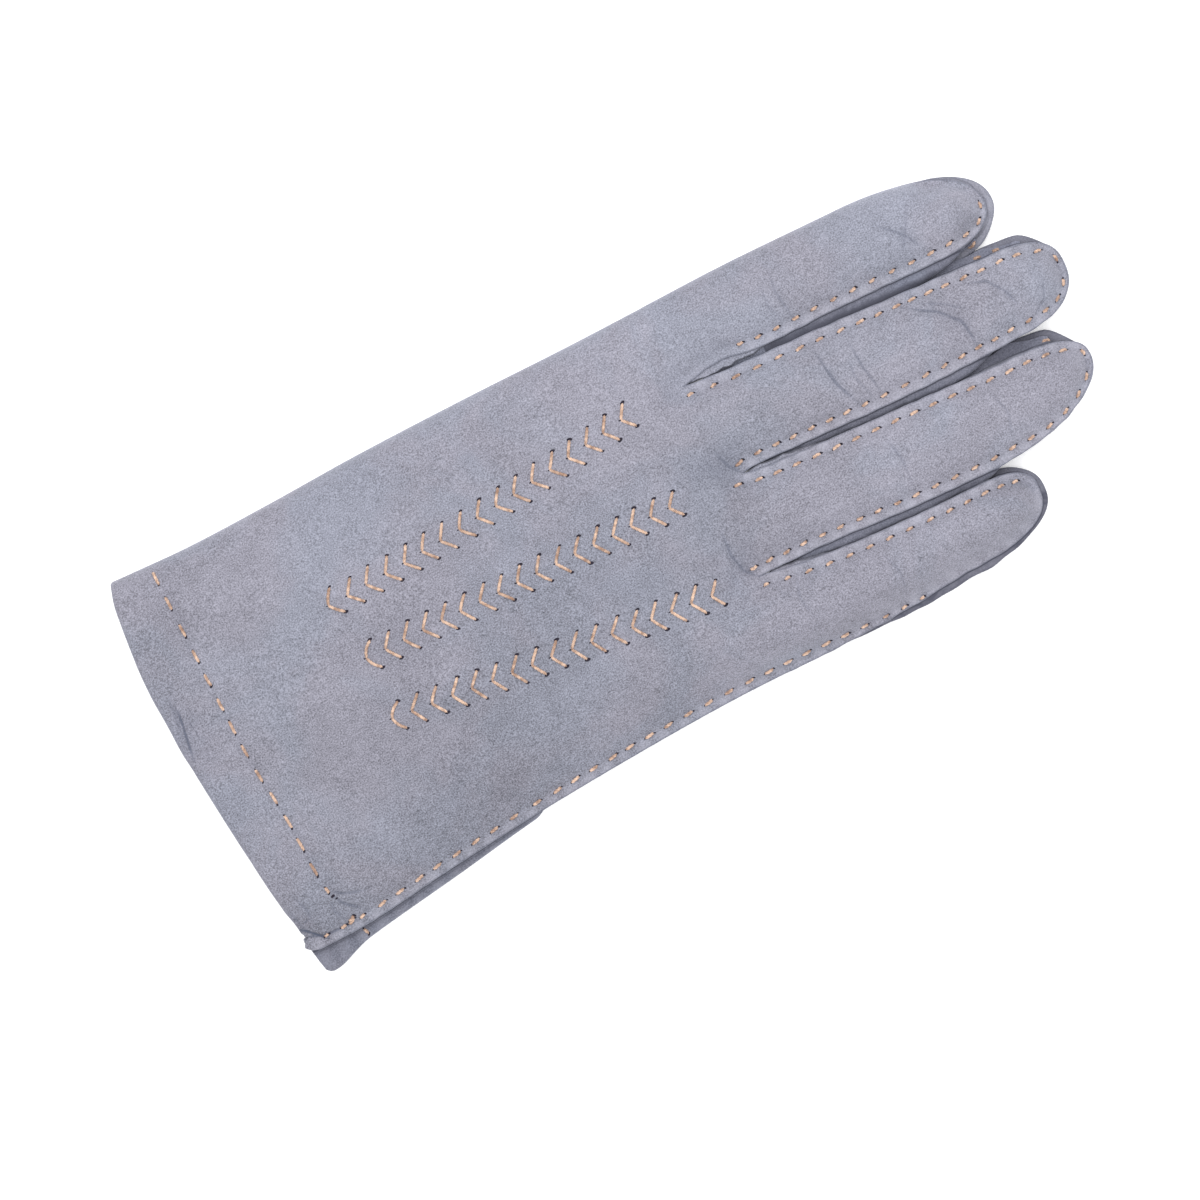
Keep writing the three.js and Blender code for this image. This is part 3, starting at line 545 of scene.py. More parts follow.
def fromLine(x, y, line):
    # distance from an open line of places, how far along it, and on which side
    best = np.full(x.shape, 1e9)
    where, side = np.zeros(x.shape), np.zeros(x.shape)
    for i in range(len(line) - 1):
        (ax, ay), (bx, by) = line[i], line[i + 1]
        t = clamp(((x - ax) * (bx - ax) + (y - ay) * (by - ay)) / ((bx - ax) ** 2 + (by - ay) ** 2))
        away = np.hypot(x - ax - t * (bx - ax), y - ay - t * (by - ay))
        closer = away < best
        best = np.where(closer, away, best)
        where = np.where(closer, (i + t) / (len(line) - 1), where)
        turned = (bx - ax) * (y - ay) - (by - ay) * (x - ax)
        side = np.where(closer, np.sign(turned), side)
    return best, where, side


# where each form lies in from the edge, how wide it is and how high, or how deep and how much
# less between two stitches
relief = {
    "channel": (0.8, 0.4, 0.3), "lip": (0.6, 0.8, 0.1), "puff": (2.3, 1.5, 0.16),
    "swells": [(0.20, 34, 3), (0.09, 13, 5), (0.035, 5, 8)],  # height, size and seed
    "palmSwells": [(0.22, 26, 13), (0.1, 9, 15)],
    "valley": (12.9, 1.1, 0.3, 0.1), "ridge": (9.5, 2.2, 0.16), "rolled": (0.75, 2.2),
    "palmChannel": (0.8, 0.25),
}
# a crease's section, how shallow it gets at its ends and near an edge, the depth from which its fine
# line of painted shade is drawn in full, and how far to each side that line may wander
crease = {"bells": [(0.55, 1.6), (0.45, 0.6)], "shoulder": 0.3, "least": 0.35, "quiet": 0.6,
          "full": 0.45, "reach": (1.5, 3.0)}
# what the finish reads from the leather: shade, distance from the back's edge, and the creases
plainFields = {"dusk": 0.0, "beyond": 9.0, "fold0": 3.0, "foldShare0": 0.0, "fold1": 3.0,
               "foldShare1": 0.0}


def swellOf(name, x, y):
    return sum(high * waves(x, y, size, seed) for high, size, seed in relief[name])


def seamRelief(strip):
    # the leather sinks under each stitch, and puffs up between two of them
    x, edge, key = strip["x"], strip["edge"], strip["key"]
    between = 0.5 - 0.5 * np.cos(2 * np.pi * strip["phase"])
    sewn = np.ones(x.shape) * (key != indexNear)
    if key == (0, "far"):
        sewn = over("indexSewn", strip["along"])
    if key == littleFar:
        sewn = over("outseamSewn", x) * (1 - over("outseamEnds", x))
    wide, deep, less = relief["channel"]
    channel = bell(edge - seamDepth(*key, x), wide)
    dz = -channel * (deep - less * between)
    for name in ("lip", "puff"):
        at, wide, high = relief[name]
        dz = dz + bell(edge - at, wide) * high * between
    dz = sewn * dz
    if key == littleFar:
        # past the last stitches this edge is rolled over the side of the finger
        deep, wide = relief["rolled"]
        dz = dz - deep * over("rolledOver", x) * (1 - clamp(edge / wide)) ** 2
    return dz


def hemRelief(x, y):
    # a shallow valley under the hem's stitches and a soft ridge at its folded edge
    depthIn = x - sideOf("cuff", y)
    inHem = over("hemFromSeam", sideOf("outseam", x) - y) * over("hemFromFold", y)
    stitch = np.cos(2 * np.pi * (y - hemStitch["first"]) / hemStitch["step"])
    at, wide, deep, more = relief["valley"]
    valley = bell(depthIn - at, wide) * (deep + more * stitch)
    at, wide, high = relief["ridge"]
    return inHem * (high * bell(depthIn - at, wide) - valley)


def backRelief(strip):
    # how the back stands off its plain shape
    x, y, edge = strip["x"], strip["y"], strip["edge"]
    dz = seamRelief(strip)
    quiet = over("quiet", edge)
    for wide, deep, group, dark, line in creases:
        away, where, side = fromLine(x, y, line)
        fade = over("creaseEnds", where) * over("creaseEnds", 1 - where)
        deep = deep * mix(crease["least"], 1, fade)
        profile = sum(share * bell(away / wide, spread) for share, spread in crease["bells"])
        profile = profile - crease["shoulder"] * bell(away - 2 * wide, wide)
        dz = dz - deep * profile * mix(crease["quiet"], 1, quiet)
        if group is not None:
            fold, share = f"fold{group}", f"foldShare{group}"
            reached = 1 - during(crease["reach"], away)
            here = clamp(deep / crease["full"]) * dark * reached
            stronger = here > strip[share]
            strip[fold] = np.where(stronger, side * away, strip[fold])
            strip[share] = np.where(stronger, here, strip[share])
    for dentX, dentY, long, wide, depth in dents:
        dz = dz - depth * np.exp(-((x - dentX) / long) ** 2 - ((y - dentY) / wide) ** 2)
    dz = dz + swellOf("swells", x, y) * quiet + hemRelief(x, y)
    if strip["key"] == indexNear:
        foldIn = y - np.where(x < spans["fold"][0], sideOf("fold", x), 0.3)
        atTip = mix(over("tipShape", x) * 0.6, 1, over("fromFold", edge))
        opened = (x > spans["fold"][1]) & (edge < farAway)
        dz = dz * np.where(opened, atTip, over("fromFold", foldIn))
    strip["dent"] = dz
    strip["z"] = strip["z"] + dz


def beyondBack(number, x, y):
    # millimetres out from the back's raw edge round a finger and down the outseam
    tipX = fingers[number]["tip"][0]
    places = [outline("back", number, s, np.linspace(crotches[number + k][0], tipX, 60))
              for k, s in enumerate(("near", "far"))]
    line = np.concatenate([places[0], places[1][::-1]])
    if number == 3:
        down = np.linspace(crotches[4][0], 0, 40)
        line = np.concatenate([line, np.stack([down, sideOf("outseam", down)], -1)])
    away, _, side = fromLine(x, y, line.tolist())
    return -away * side


def palmRelief(strip):
    x, y, edge = strip["x"], strip["y"], strip["edge"]
    (number, side), outer = strip["key"], strip["key"] == littleFar
    inFrom = np.minimum(over("palmIn", edge), over("palmFromFold", y))
    inFrom = np.minimum(inFrom, over("palmToSeam", y) if number == 3 else 1)
    lift = np.maximum(0, swellOf("palmSwells", x, y)) * inFrom * (1 - thumbCover(x, y))
    if not outer:
        wide, high = relief["palmChannel"]
        lift = lift + high * bell(edge - leather["seamIn"], wide) * (edge < farAway / 2)
    strip["dent"] = -lift
    # painted shade for the palm's inner side beyond the backs of the last three fingers, less on the
    # near sides
    strip["dusk"] = over("dusk", x) * (number > 0) * (0.6 if side == "near" else 1)
    most = plainFields["beyond"]
    beyond = np.clip(beyondBack(number, x, y), -most, most)
    strip["beyond"] = np.where((x > spans["dusk"][0]) | outer, beyond, most)
    strip["z"] = strip["z"] + lift


# Leather as a closed mesh

def sewGrids(strips, fields):
    points, values, quads, first = [], {name: [] for name in fields}, [], 0
    for strip in strips:
        rows, cols = strip["x"].shape
        points.append(np.stack([strip["x"], strip["y"], strip["z"]], -1).reshape(-1, 3))
        for name in fields:
            values[name].append(strip[name].reshape(-1))
        ids = first + np.arange(rows * cols).reshape(rows, cols)
        a, b, c, d = ids[:-1, :-1], ids[:-1, 1:], ids[1:, 1:], ids[1:, :-1]
        order = [a, b, c, d] if strip["turned"] else [a, d, c, b]
        quads.append(np.stack(order, -1).reshape(-1, 4))
        first += rows * cols
    points, quads = np.concatenate(points), np.concatenate(quads)
    keys = np.round(points * 2000).astype(np.int64)
    _, keep, same = np.unique(keys, axis=0, return_index=True, return_inverse=True)
    same = same.reshape(-1)
    values = {name: np.concatenate(values[name])[keep] for name in fields}
    return points[keep], same[quads], values


def tidyFaces(quads):
    faces = []
    for quad in quads.tolist():
        face = [v for i, v in enumerate(quad) if v != quad[i - 1]]
        if len(face) > 2 and len(set(face)) == len(face):
            faces.append(face)
    return faces


def normalsOf(points, faces):
    normals = np.zeros_like(points)
    for size in (3, 4):
        some = np.array([f for f in faces if len(f) == size], int)
        if len(some):
            corner = [points[some[:, k]] for k in range(size)]
            one, other = (corner[2] - corner[0], corner[3] - corner[1]) if size == 4 else (
                corner[1] - corner[0], corner[2] - corner[0])
            for k in range(size):
                np.add.at(normals, some[:, k], np.cross(one, other))
    return unit(normals)


def tubeFaces(rows, size, order, first=0):
    # between each ring of points and the next, with the corners taken in that order
    faces = []
    for i in range(rows - 1):
        for j in range(size):
            a, b = first + i * size + j, first + i * size + (j + 1) % size
            corners = {"a": a, "b": b, "A": a + size, "B": b + size}
            faces.append([corners[c] for c in order])
    return faces


def rimOf(faces):
    loose = {}
    for face in faces:
        for i, b in enumerate(face):
            a = face[i - 1]
            if (b, a) in loose:
                del loose[(b, a)]
            else:
                loose[(a, b)] = True
    return list(loose)


def thickened(points, faces, thickness, bulge, rings=3):
    # outer face, inner face and a rounded rim between them; also how far each point is inside
    normals = normalsOf(points, faces)
    inner = points - normals * thickness[:, None]
    count = len(points)
    rim = rimOf(faces)
    onRim = sorted({v for pair in rim for v in pair})
    tangent = np.zeros_like(points)
    for a, b in rim:
        tangent[a] += points[b] - points[a]
        tangent[b] += points[b] - points[a]
    out = unit(np.cross(tangent, normals))
    slot = {v: i for i, v in enumerate(onRim)}
    picked = np.array(onRim, int)
    allPoints = [points, inner]
    inside = [np.zeros(count), np.ones(count)]
    owner = [np.arange(count), np.arange(count)]
    for k in range(1, rings + 1):
        turn = math.pi * k / (rings + 1)
        ring = mix(points[picked], inner[picked], (1 - math.cos(turn)) / 2)
        allPoints.append(ring + out[picked] * (bulge[picked] * math.sin(turn))[:, None])
        inside.append(np.full(len(picked), 0.5))
        owner.append(picked)
    closed = [list(f) for f in faces] + [[v + count for v in reversed(f)] for f in faces]

    def level(v, k):
        if k == 0:
            return v
        return v + count if k > rings else 2 * count + (k - 1) * len(onRim) + slot[v]
    for a, b in rim:
        for k in range(rings + 1):
            closed.append([level(b, k), level(a, k), level(a, k + 1), level(b, k + 1)])
    return np.concatenate(allPoints), closed, np.concatenate(inside), np.concatenate(owner)


def makeMesh(name, points, faces, fields=None, sharp=50):
    mesh = bpy.data.meshes.new(name)
    mesh.from_pydata(toFrame(points).tolist(), [], [list(reversed(f)) for f in faces])
    for field, values in (fields or {}).items():
        spot = mesh.attributes.new(field, "FLOAT", "POINT")
        spot.data.foreach_set("value", np.asarray(values, np.float32))
    mesh.validate()
    mesh.shade_smooth()
    mesh.set_sharp_from_angle(angle=math.radians(sharp))
    piece = bpy.data.objects.new(name, mesh)
    bpy.context.scene.collection.objects.link(piece)
    return piece


def turned(place, turn, along, across=0):
    # the place that lies so far along a direction, and across it
    return (place[0] + along * math.cos(turn) - across * math.sin(turn),
            place[1] + along * math.sin(turn) + across * math.cos(turn))


thumbTurn = math.atan2(thumb["tip"][1] - thumb["base"][1], thumb["tip"][0] - thumb["base"][0])


def inHole(x, y):
    # under 1 inside the thumb's hole
    cx, cy = turned(thumb["base"], thumbTurn, thumb["holeAlong"])
    u = (x - cx) * math.cos(thumbTurn) + (y - cy) * math.sin(thumbTurn)
    v = -(x - cx) * math.sin(thumbTurn) + (y - cy) * math.cos(thumbTurn)
    return np.hypot(u / (thumb["holeLong"] / 2), v / (thumb["holeWide"] / 2))


def hemThickness(points, depthIn):
    # twice the leather where it is turned in
    inHem = 1 - smooth(depthIn - hem["depth"] + 0.5)
    fromSeam = sideOf("outseam", points[:, 0]) - points[:, 1]
    return leather["thick"] * (1 + inHem * smooth((fromSeam - hem["end"]) / 1.5))


def makeTrank():
    strips = []
    for layer, relieved in (("back", backRelief), ("palm", palmRelief)):
        for number in range(len(fingers)):
            for side in ("near", "far"):
                strip = stripOf(layer, number, side)
                for field, value in {**plainFields, "palm": float(layer == "palm")}.items():
                    strip[field] = np.full(strip["x"].shape, value)
                strip["phase"] = phaseOf(strip)
                relieved(strip)
                strips.append(strip)
    for near, far in zip(strips[::2], strips[1::2]):
        # the two halves of a finger meet at one height
        pairs = np.abs(near["x"][-1] - far["x"][-1][:, None]).argmin(1)
        level = near["z"][-1].copy()
        for k in range(len(level)):
            level[k] = (near["z"][-1][k] + far["z"][-1][pairs == k].mean()) / 2
        near["z"][-1], far["z"][-1] = level, level[pairs]
    names = ["edge", "phase", "dent", "palm", *plainFields]
    points, quads, fields = sewGrids(strips, names)
    # the thumb's hole in the palm
    onPalm = fields["palm"][quads].min(1) > 0.5
    centre = points[quads].mean(1)
    faces = tidyFaces(quads[~(onPalm & (inHole(centre[:, 0], centre[:, 1]) < 1))])
    depthIn = points[:, 0] - sideOf("cuff", points[:, 1])
    thickness = hemThickness(points, depthIn)
    atCuff = (depthIn < 2.2) & (fields["edge"] > 1.5)
    bulge = np.where(atCuff, thickness * hem["bulge"], leather["bulge"])
    closedPoints, closed, inside, owner = thickened(points, faces, thickness, bulge)
    used = {"inside": inside, **{name: fields[name][owner] for name in names}}
    piece = makeMesh("trank_suede", closedPoints, closed, used, sharp=62)
    return piece, BVHTree.FromPolygons(points.tolist(), faces)


trankPiece, trankSeat = makeTrank()
print("trank:", len(trankPiece.data.vertices), "points")


fork = {"gap": 0.4, "lipStart": 0.2, "wallIn": 3.0, "paredIn": 2.0, "paredHeight": 1.6,
        "bends": 17, "bendTurn": 84, "rows": 76, "lipShare": 0.45, "slant": 0.6, "ease": 2,
        "outMost": 2.6, "behind": -0.9,
        # how far a lip peeks out beside the crotch, over what stretch, and on which side
        "peek": [(2.9, 19, "far"), (1.5, 19, "near"), (1.2, 17, "near")],
        # where its fold draws back from the gap again near the shorter finger's tip
        "back": [(203, 231), (206, 224), (198, 212)], "up": {"far": 1.0, "near": 1.25},
        "taper": 1.6, "taperFrom": 18, "taperLong": 12}


def edgeWays(number, side):
    ways = []
    for layer in ("back", "palm"):
        x, edge, middle = rowFrames(layer, number, side, fork["rows"])
        ways.append((x, edge, unit(middle - edge)))
    return ways


def forkSections(gap):
    # every place along the strip, up one finger's side, round the crotch and up the next one's
    crotch = np.array(crotches[gap + 1], float)

    def arm(number, side):
        (x, backEdge, backIn), (_, palmEdge, palmIn) = edgeWays(number, side)
        return [(number, side, x[i], backEdge[i], backIn[i], palmEdge[i], palmIn[i],
                 float(side == "far")) for i in range(1, fork["rows"] + 4)]
    steps = arm(gap, "far")[::-1]
    most = math.radians(fork["bendTurn"])
    for turn in np.radians(np.linspace(-fork["bendTurn"], fork["bendTurn"], fork["bends"])):
        inward = np.array([-math.cos(turn), math.sin(turn)])
        steps.append((gap, "far", crotch[0], crotch, inward, crotch, inward,
                      (most - turn) / math.radians(2 * fork["bendTurn"])))
    return steps + arm(gap + 1, "near")


def roundedLine(corners, per=5):
    # the way through the corners with each bend rounded
    line = [corners[0]]
    for i in range(1, len(corners) - 1):
        a, b, c = corners[i - 1], corners[i], corners[i + 1]
        start, end = b + (a - b) * 0.45, b + (c - b) * 0.45
        for t in np.linspace(0, 1, per):
            line.append(mix(mix(start, b, t), mix(b, end, t), t))
    line.append(corners[-1])
    return line


def forkRing(gap, step, run, sway):
    # a section of the strip and its fields: the way in from the upper lip, how far it lies in
    # under the back's edge, and how far from the next finger's
    number, side, x, backAt, backIn, palmAt, palmIn, upper = step
    top = fingerEdge("back", number, side, x) - leather["thick"] - fork["gap"]
    foot = fingerEdge("palm", number, side, x) + leather["thick"] + fork["gap"]
    half = min(leather["thick"], fork["lipShare"] * (top - foot)) / 2
    slant = np.linalg.norm(backAt - palmAt)
    hollow = clamp((top - foot - fork["paredHeight"] - fork["slant"] * slant) / fork["ease"])
    wall = mix(fork["paredIn"], fork["wallIn"], hollow) - half
    fromCrotch = np.hypot(*(backAt - np.array(crotches[gap + 1])))
    nextEdge = outline("back", gap + 1, "near", x)[1]
    apart = nextEdge - outline("back", gap, "far", x)[1]
    # the upper lip peeks out beside the crotch, and the lower one tapers to a point at the tip
    wavy = math.sin(run * 0.9 + sway[0]) + 0.6 * math.sin(run * 1.7 + sway[1])
    out, stretch, peekSide = fork["peek"][gap]
    peek = math.exp(-(fromCrotch / stretch) ** 4) * out * (0.85 + 0.11 * wavy)
    peek *= (upper if peekSide == "far" else 1 - upper) * over("peek", fromCrotch)
    peek = min(peek, max(0.0, apart - 0.1) + 0.1 * wavy)
    toTip = x - fingers[number]["tip"][0]
    low = fork["lipStart"] - 0.15 * math.sin(run * 0.7 + sway[2])
    low += fork["taper"] * smooth((toTip + fork["taperFrom"]) / fork["taperLong"])
    # the upper finger's fold comes out and fills the gap, and the lower finger's stays behind
    room = min(fork["outMost"], apart + 0.15) - half if side == "far" else fork["behind"]
    room = mix(-room, wall, during(fork["back"][gap], x))
    bow = mix(wall, room, hollow * over("hollow", fromCrotch))
    bow += 0.12 * math.sin(run * 0.31 + sway[3]) * hollow

    def at(edge, way, distance, z):
        return np.array([*(edge + way * distance), z])
    middle, inward = (backAt + palmAt) / 2, (backIn + palmIn) / 2
    raised = fork["up"][peekSide] * clamp(peek / 0.6)
    line = np.array(roundedLine([
        at(backAt, backIn, fork["lipStart"] - peek, top - half + raised),
        at(backAt, backIn, wall, top - half),
        *[at(middle, inward, bow, mix(foot, top, share)) for share in (0.8, 0.42)],
        at(palmAt, palmIn, wall, foot + half), at(palmAt, palmIn, low, foot + half)]))
    way = np.gradient(line, axis=0)
    sideways = np.array([inward[0], inward[1], 0]) / np.hypot(*inward)
    flat = unit(np.stack([way @ sideways, way[:, 2]], -1))
    off = flat[:, 1:2] * sideways * -1 + np.outer(flat[:, 0], [0, 0, 1])
    toNext = np.full(len(line), 9.0)
    if side == "far" and peek < 0.5:
        toNext = nextEdge - line[:, 1]
    fields = runOf(line), (line[:, :2] - backAt) @ backIn, toNext
    return (np.concatenate([line + off * half, (line - off * half)[::-1]]),
            [np.concatenate([field, field[::-1]]) for field in fields])


def makeFork(gap, name):
    rings, fields = [], []
    steps = forkSections(gap)
    draw = random.Random(40 + gap)
    sway = [draw.uniform(0, 6) for _ in range(4)]
    run = 0.0
    for k, step in enumerate(steps):
        if k:
            run += np.linalg.norm(step[3] - steps[k - 1][3]) + 0.15
        ring, values = forkRing(gap, step, run, sway)
        rings.append(ring)
        fields.append(values)
    rings = np.array(rings)
    rows, size = rings.shape[:2]
    faces = tubeFaces(rows, size, "aABb")
    for row, flipped in ((0, False), (rows - 1, True)):
        for j in range(size // 2 - 1):
            cap = [row * size + v for v in (j, j + 1, size - 2 - j, size - 1 - j)]
            faces.append(cap[::-1] if flipped else cap)
    fields = {field: values.reshape(-1) for field, values
              in zip(("edge", "covered", "next"), np.array(fields).transpose(1, 0, 2))}
    return makeMesh(name, rings.reshape(-1, 3), faces, fields, sharp=60)


forkNames = ["fourchette_index_middle", "fourchette_middle_ring", "fourchette_ring_little"]
forkPieces = [makeFork(gap, name + "_suede") for gap, name in enumerate(forkNames)]
print("fourchettes:", [len(piece.data.vertices) for piece in forkPieces])


thumbForm = {"stops": 56, "ring": 60, "square": 0.5, "blunt": 1.2, "swell": 0.12}


def rounder(wave):
    # a sine or cosine made squarer
    return np.sign(wave) * np.abs(wave) ** thumbForm["square"]


def thumbPouch(inset):
    (ax, ay), (bx, by) = thumb["base"], thumb["tip"]
    length = math.hypot(bx - ax, by - ay)
    ux, uy = (bx - ax) / length, (by - ay) / length
    turn = np.linspace(0, np.pi, thumbForm["stops"])
    stop = mix(inset - thumb["baseRadius"], length + thumb["tipRadius"] - inset,
               (1 - np.cos(turn)) / 2)
    radius = mix(thumb["baseRadius"], thumb["tipRadius"], clamp(stop / length)) - inset
    over = np.maximum(np.maximum(-stop, stop - length), 0)
    half = np.maximum(thumbForm["blunt"], np.sqrt(np.maximum(0, radius ** 2 - over ** 2)))
    angle = 2 * np.pi * (np.arange(thumbForm["ring"]) + 0.5) / thumbForm["ring"]
    across = rounder(np.cos(angle))
    x = ax + ux * stop[:, None] - uy * across * half[:, None]
    y = ay + uy * stop[:, None] + ux * across * half[:, None]
    z = heights["thumb"] / 2 + (heights["thumb"] / 2 - inset) * rounder(np.sin(angle))
    return np.stack([x, y, z * np.ones_like(x)], -1)


def makeThumb():
    outer, inner = thumbPouch(0), thumbPouch(leather["thick"])
    swell = 0.5 + 0.5 * waves(outer[..., 0], outer[..., 1], 17, 21)
    swell = thumbForm["swell"] * swell * (1 - thumbForm["square"])
    outer[..., 2] += np.where(outer[..., 2] < heights["thumb"] / 2, swell, 0)
    rows, size = outer.shape[:2]
    total = rows * size
    points = np.concatenate([outer.reshape(-1, 3), inner.reshape(-1, 3)])
    onTop = points[:total, 2] > 0.8 * heights["thumb"]
    cut = (inHole(points[:total, 0], points[:total, 1]) < 1) & onTop
    outerFaces = [face for face in tubeFaces(rows, size, "abBA") if not cut[face].all()]
    rim = [pair for pair in rimOf(outerFaces)
           if size <= pair[0] < total - size or size <= pair[1] < total - size]
    faces = outerFaces + [[v + total for v in reversed(f)] for f in outerFaces]
    faces += [[b, a, a + total, b + total] for a, b in rim]
    for row, flipped in ((0, True), (rows - 1, False)):
        for start in (0, total):
            cap = [start + row * size + j for j in range(size)]
            faces.append(cap[::-1] if flipped == (start == 0) else cap)
    piece = makeMesh("thumb_suede", points, faces, sharp=60)
    return piece, BVHTree.FromPolygons(points[:total].tolist(), outerFaces)


thumbPiece, thumbSeat = makeThumb()
print("thumb:", len(thumbPiece.data.vertices), "points")


thread = {"ply": 0.215, "apart": 0.2, "plies": 3, "lay": 2.4, "sides": 6, "steps": 11,
          "sink": 0.5, "steep": 3.5, "stand": 0.28, "square": 3.2, "pressed": 0.04, "dive": 0.3,
          "slant": 0.1, "sway": 0.08}


def twisted(paths):
    # three plies laid round each other along every path
    points, faces, first = [], [], 0
    sides, plies = thread["sides"], thread["plies"]
    angle = 2 * np.pi * np.arange(sides) / sides
    for path, start in paths:
        rows = len(path)
        way = unit(np.gradient(path, axis=0))
        aside = unit(np.cross(way, np.array([0, 0, 1.0])))
        lift = np.cross(aside, way)
        run = runOf(path)
        taper = np.ones(rows)
        taper[[0, -1]] = 0.6
        for ply in range(plies):
            turn = start + 2 * np.pi * (ply / plies + run / thread["lay"])
            centre = path + thread["apart"] * (np.cos(turn)[:, None] * aside
                                               + np.sin(turn)[:, None] * lift)
            ring = (centre[:, None] + thread["ply"] * taper[:, None, None]
                    * (np.cos(angle)[None, :, None] * aside[:, None]
                       + np.sin(angle)[None, :, None] * lift[:, None]))
            points.append(ring.reshape(-1, 3))
            faces += tubeFaces(rows, sides, "baAB", first)
            faces.append([first + j for j in range(sides)])
            faces.append([first + (rows - 1) * sides + j for j in range(sides)][::-1])
            first += rows * sides
    return np.concatenate(points), faces


def seatAt(seat, x, y, below=False):
    start, way = ((x, y, -5), (0, 0, 1)) if below else ((x, y, 40), (0, 0, -1))
    place, normal, _, _ = seat.ray_cast(Vector(start), Vector(way))
    if place is None:
        return None
    normal = np.array(normal)
    if normal[2] * way[2] > 0:
        normal = -normal
    return np.array(place), normal


def seatOf(pieces):
    # the finished leather as one seat, back in millimetres
    places, polygons = [], []
    for piece in pieces:
        first = len(places)
        for vertex in piece.data.vertices:
            x, y, z = vertex.co / metre
            places.append((x + layMiddle[0], layMiddle[1] - y, z))
        polygons += [[first + v for v in polygon.vertices] for polygon in piece.data.polygons]
    return BVHTree.FromPolygons(places, polygons)


def stitchPath(seat, a, b, below=False, bow=0.0, lift=1.0):
    # over the leather from one hole to the next, and down into both
    seats = [seatAt(seat, *p, below) for p in (a, b, ((a[0] + b[0]) / 2, (a[1] + b[1]) / 2))]
    if None in seats:
        return None
    (pa, na), (pb, nb), (pm, nm) = seats
    up = na + nb + nm
    up /= np.linalg.norm(up)
    aside = np.cross(up, pb - pa)
    aside /= max(1e-9, np.linalg.norm(aside))
    t = np.linspace(-thread["dive"] / 3, 1 + thread["dive"] / 3, thread["steps"])
    line = pa + (pb - pa) * t[:, None]
    out = np.abs(2 * t - 1)
    arch = np.clip(1 - out ** thread["square"], -1, 1)
    lifted = np.where(out < 1, arch * thread["stand"] * lift,
                      -thread["sink"] * (out - 1) * thread["steep"])
    arc = clamp(1 - (2 * t - 1) ** 2)
    lifted = lifted + (pm - (pa + pb) / 2) @ up * arc - thread["pressed"]
    return line + up * lifted[:, None] + aside * (bow * arc)[:, None]


def makeThread(name, paths):
    draw = random.Random(name)
    paths = [(path, draw.uniform(0, 6.28)) for path in paths if path is not None]
    return makeMesh(name, *twisted(paths), sharp=70)


stitchDraw = random.Random(11)
# how uneven the stitches are, how short a stitch may get, the first two of a lower finger, and
# how far their line runs on past the crotch
sewing = {"uneven": 0.08, "shift": 0.25, "least": 0.6, "pulledIn": 0.75, "past": 6}
# the slits at a stitch's two ends, dark with painted shade, the larger one towards the fingertips: how
# far past the end, how much turned and how large
slits = [(-0.3, 1.1, 0.7), (0.42, -0.7, 1.0)]


def jitter(amount):
    return stitchDraw.uniform(-amount, amount)


def alongSeam(number, side, layer="back"):
    # the line of the stitches: places in from the raw edge, with their run along it
    x, edge, middle = rowFrames(layer, number, side, weave["fingerRows"])
    run = runOf(edge)
    # square to the edge rather than along the row
    tangent = unit(np.gradient(edge, axis=0))
    square = np.stack([-tangent[:, 1], tangent[:, 0]], -1)
    square *= np.sign((square * unit(middle - edge)).sum(1))[:, None]
    line = edge + square * seamDepth(number, side, x)[:, None]
    # and a little way past the crotch into the hand
    past = sewing["past"]
    below = line[1] + (line[1] - line[4]) / (run[4] - run[1]) * (run[1] + past)
    return np.concatenate([[-past], run[1:]]), np.concatenate([[below], line[1:]])


def holesAt(start, end):
    lean = math.atan2(end[1] - start[1], end[0] - start[0])
    return [(*turned(spot, lean, past), lean + turn, size)
            for spot, (past, turn, size) in zip((start, end), slits)]


def seamStitches(number, side, places, long, layer="back"):
    below = layer == "palm"
    run, line = alongSeam(number, side, layer)
    paths, holes = [], []
    for k, place in enumerate(places):
        half = long / 2 * (1 + jitter(sewing["uneven"]))
        half *= sewing["pulledIn"] if k < 2 and side == "near" else 1
        spots = []
        for at in (place - half, place + half):
            lean = thread["slant"] * (1 if at < place else -1) * (0 if below else 1)
            spots.append((np.interp(at, run, line[:, 0]),
                          np.interp(at, run, line[:, 1]) + lean + jitter(thread["sway"])))
        if math.dist(*spots) < sewing["least"]:
            continue
        paths.append(stitchPath(trankSeat, *spots, below))
        holes += holesAt(*spots)
    return paths, holes


threads, holePlaces = [], []
for number, finger in enumerate(fingers):
    paths = []
    for side in ("near", "far"):
        seam = seams.get((number, side))
        if seam:
            places = stitchPlaces(seam)
            some, holes = seamStitches(number, side, places, seam["long"])
            under = places[:-1] + np.diff(places) / 2
            paths += some + seamStitches(number, side, under, seam["long"], "palm")[0]
            holePlaces += holes
    threads.append(makeThread(finger["name"] + "_stitching", paths))

# a few of the palm's own stitches show beyond the backs near the tips
palmShown = [((221.7, 22.9), (223.2, 22.5)), ((221.6, 25.9), (222.9, 26.1)),
             ((226.4, 26.3), (227.6, 26.5)), ((227.1, 51.0), (228.4, 51.3))]
upperSeat = seatOf([trankPiece, *forkPieces])
threads.append(makeThread("palm_stitching", [stitchPath(upperSeat, *spots) for spots in palmShown]))


def outseamSpots(x, half):
    spots = []
    for at in (x - half, x + half):
        onHand = at < crotches[4][0]
        y = sideOf("outseam", at) if onHand else backSide(fingers[3], "far", at)
        lean = thread["slant"] * (1 if at < x else -1)
        y = y - seamDepth(*littleFar, at) + outseam["outMore"]
        spots.append((at, y + lean + jitter(thread["sway"])))
    return spots


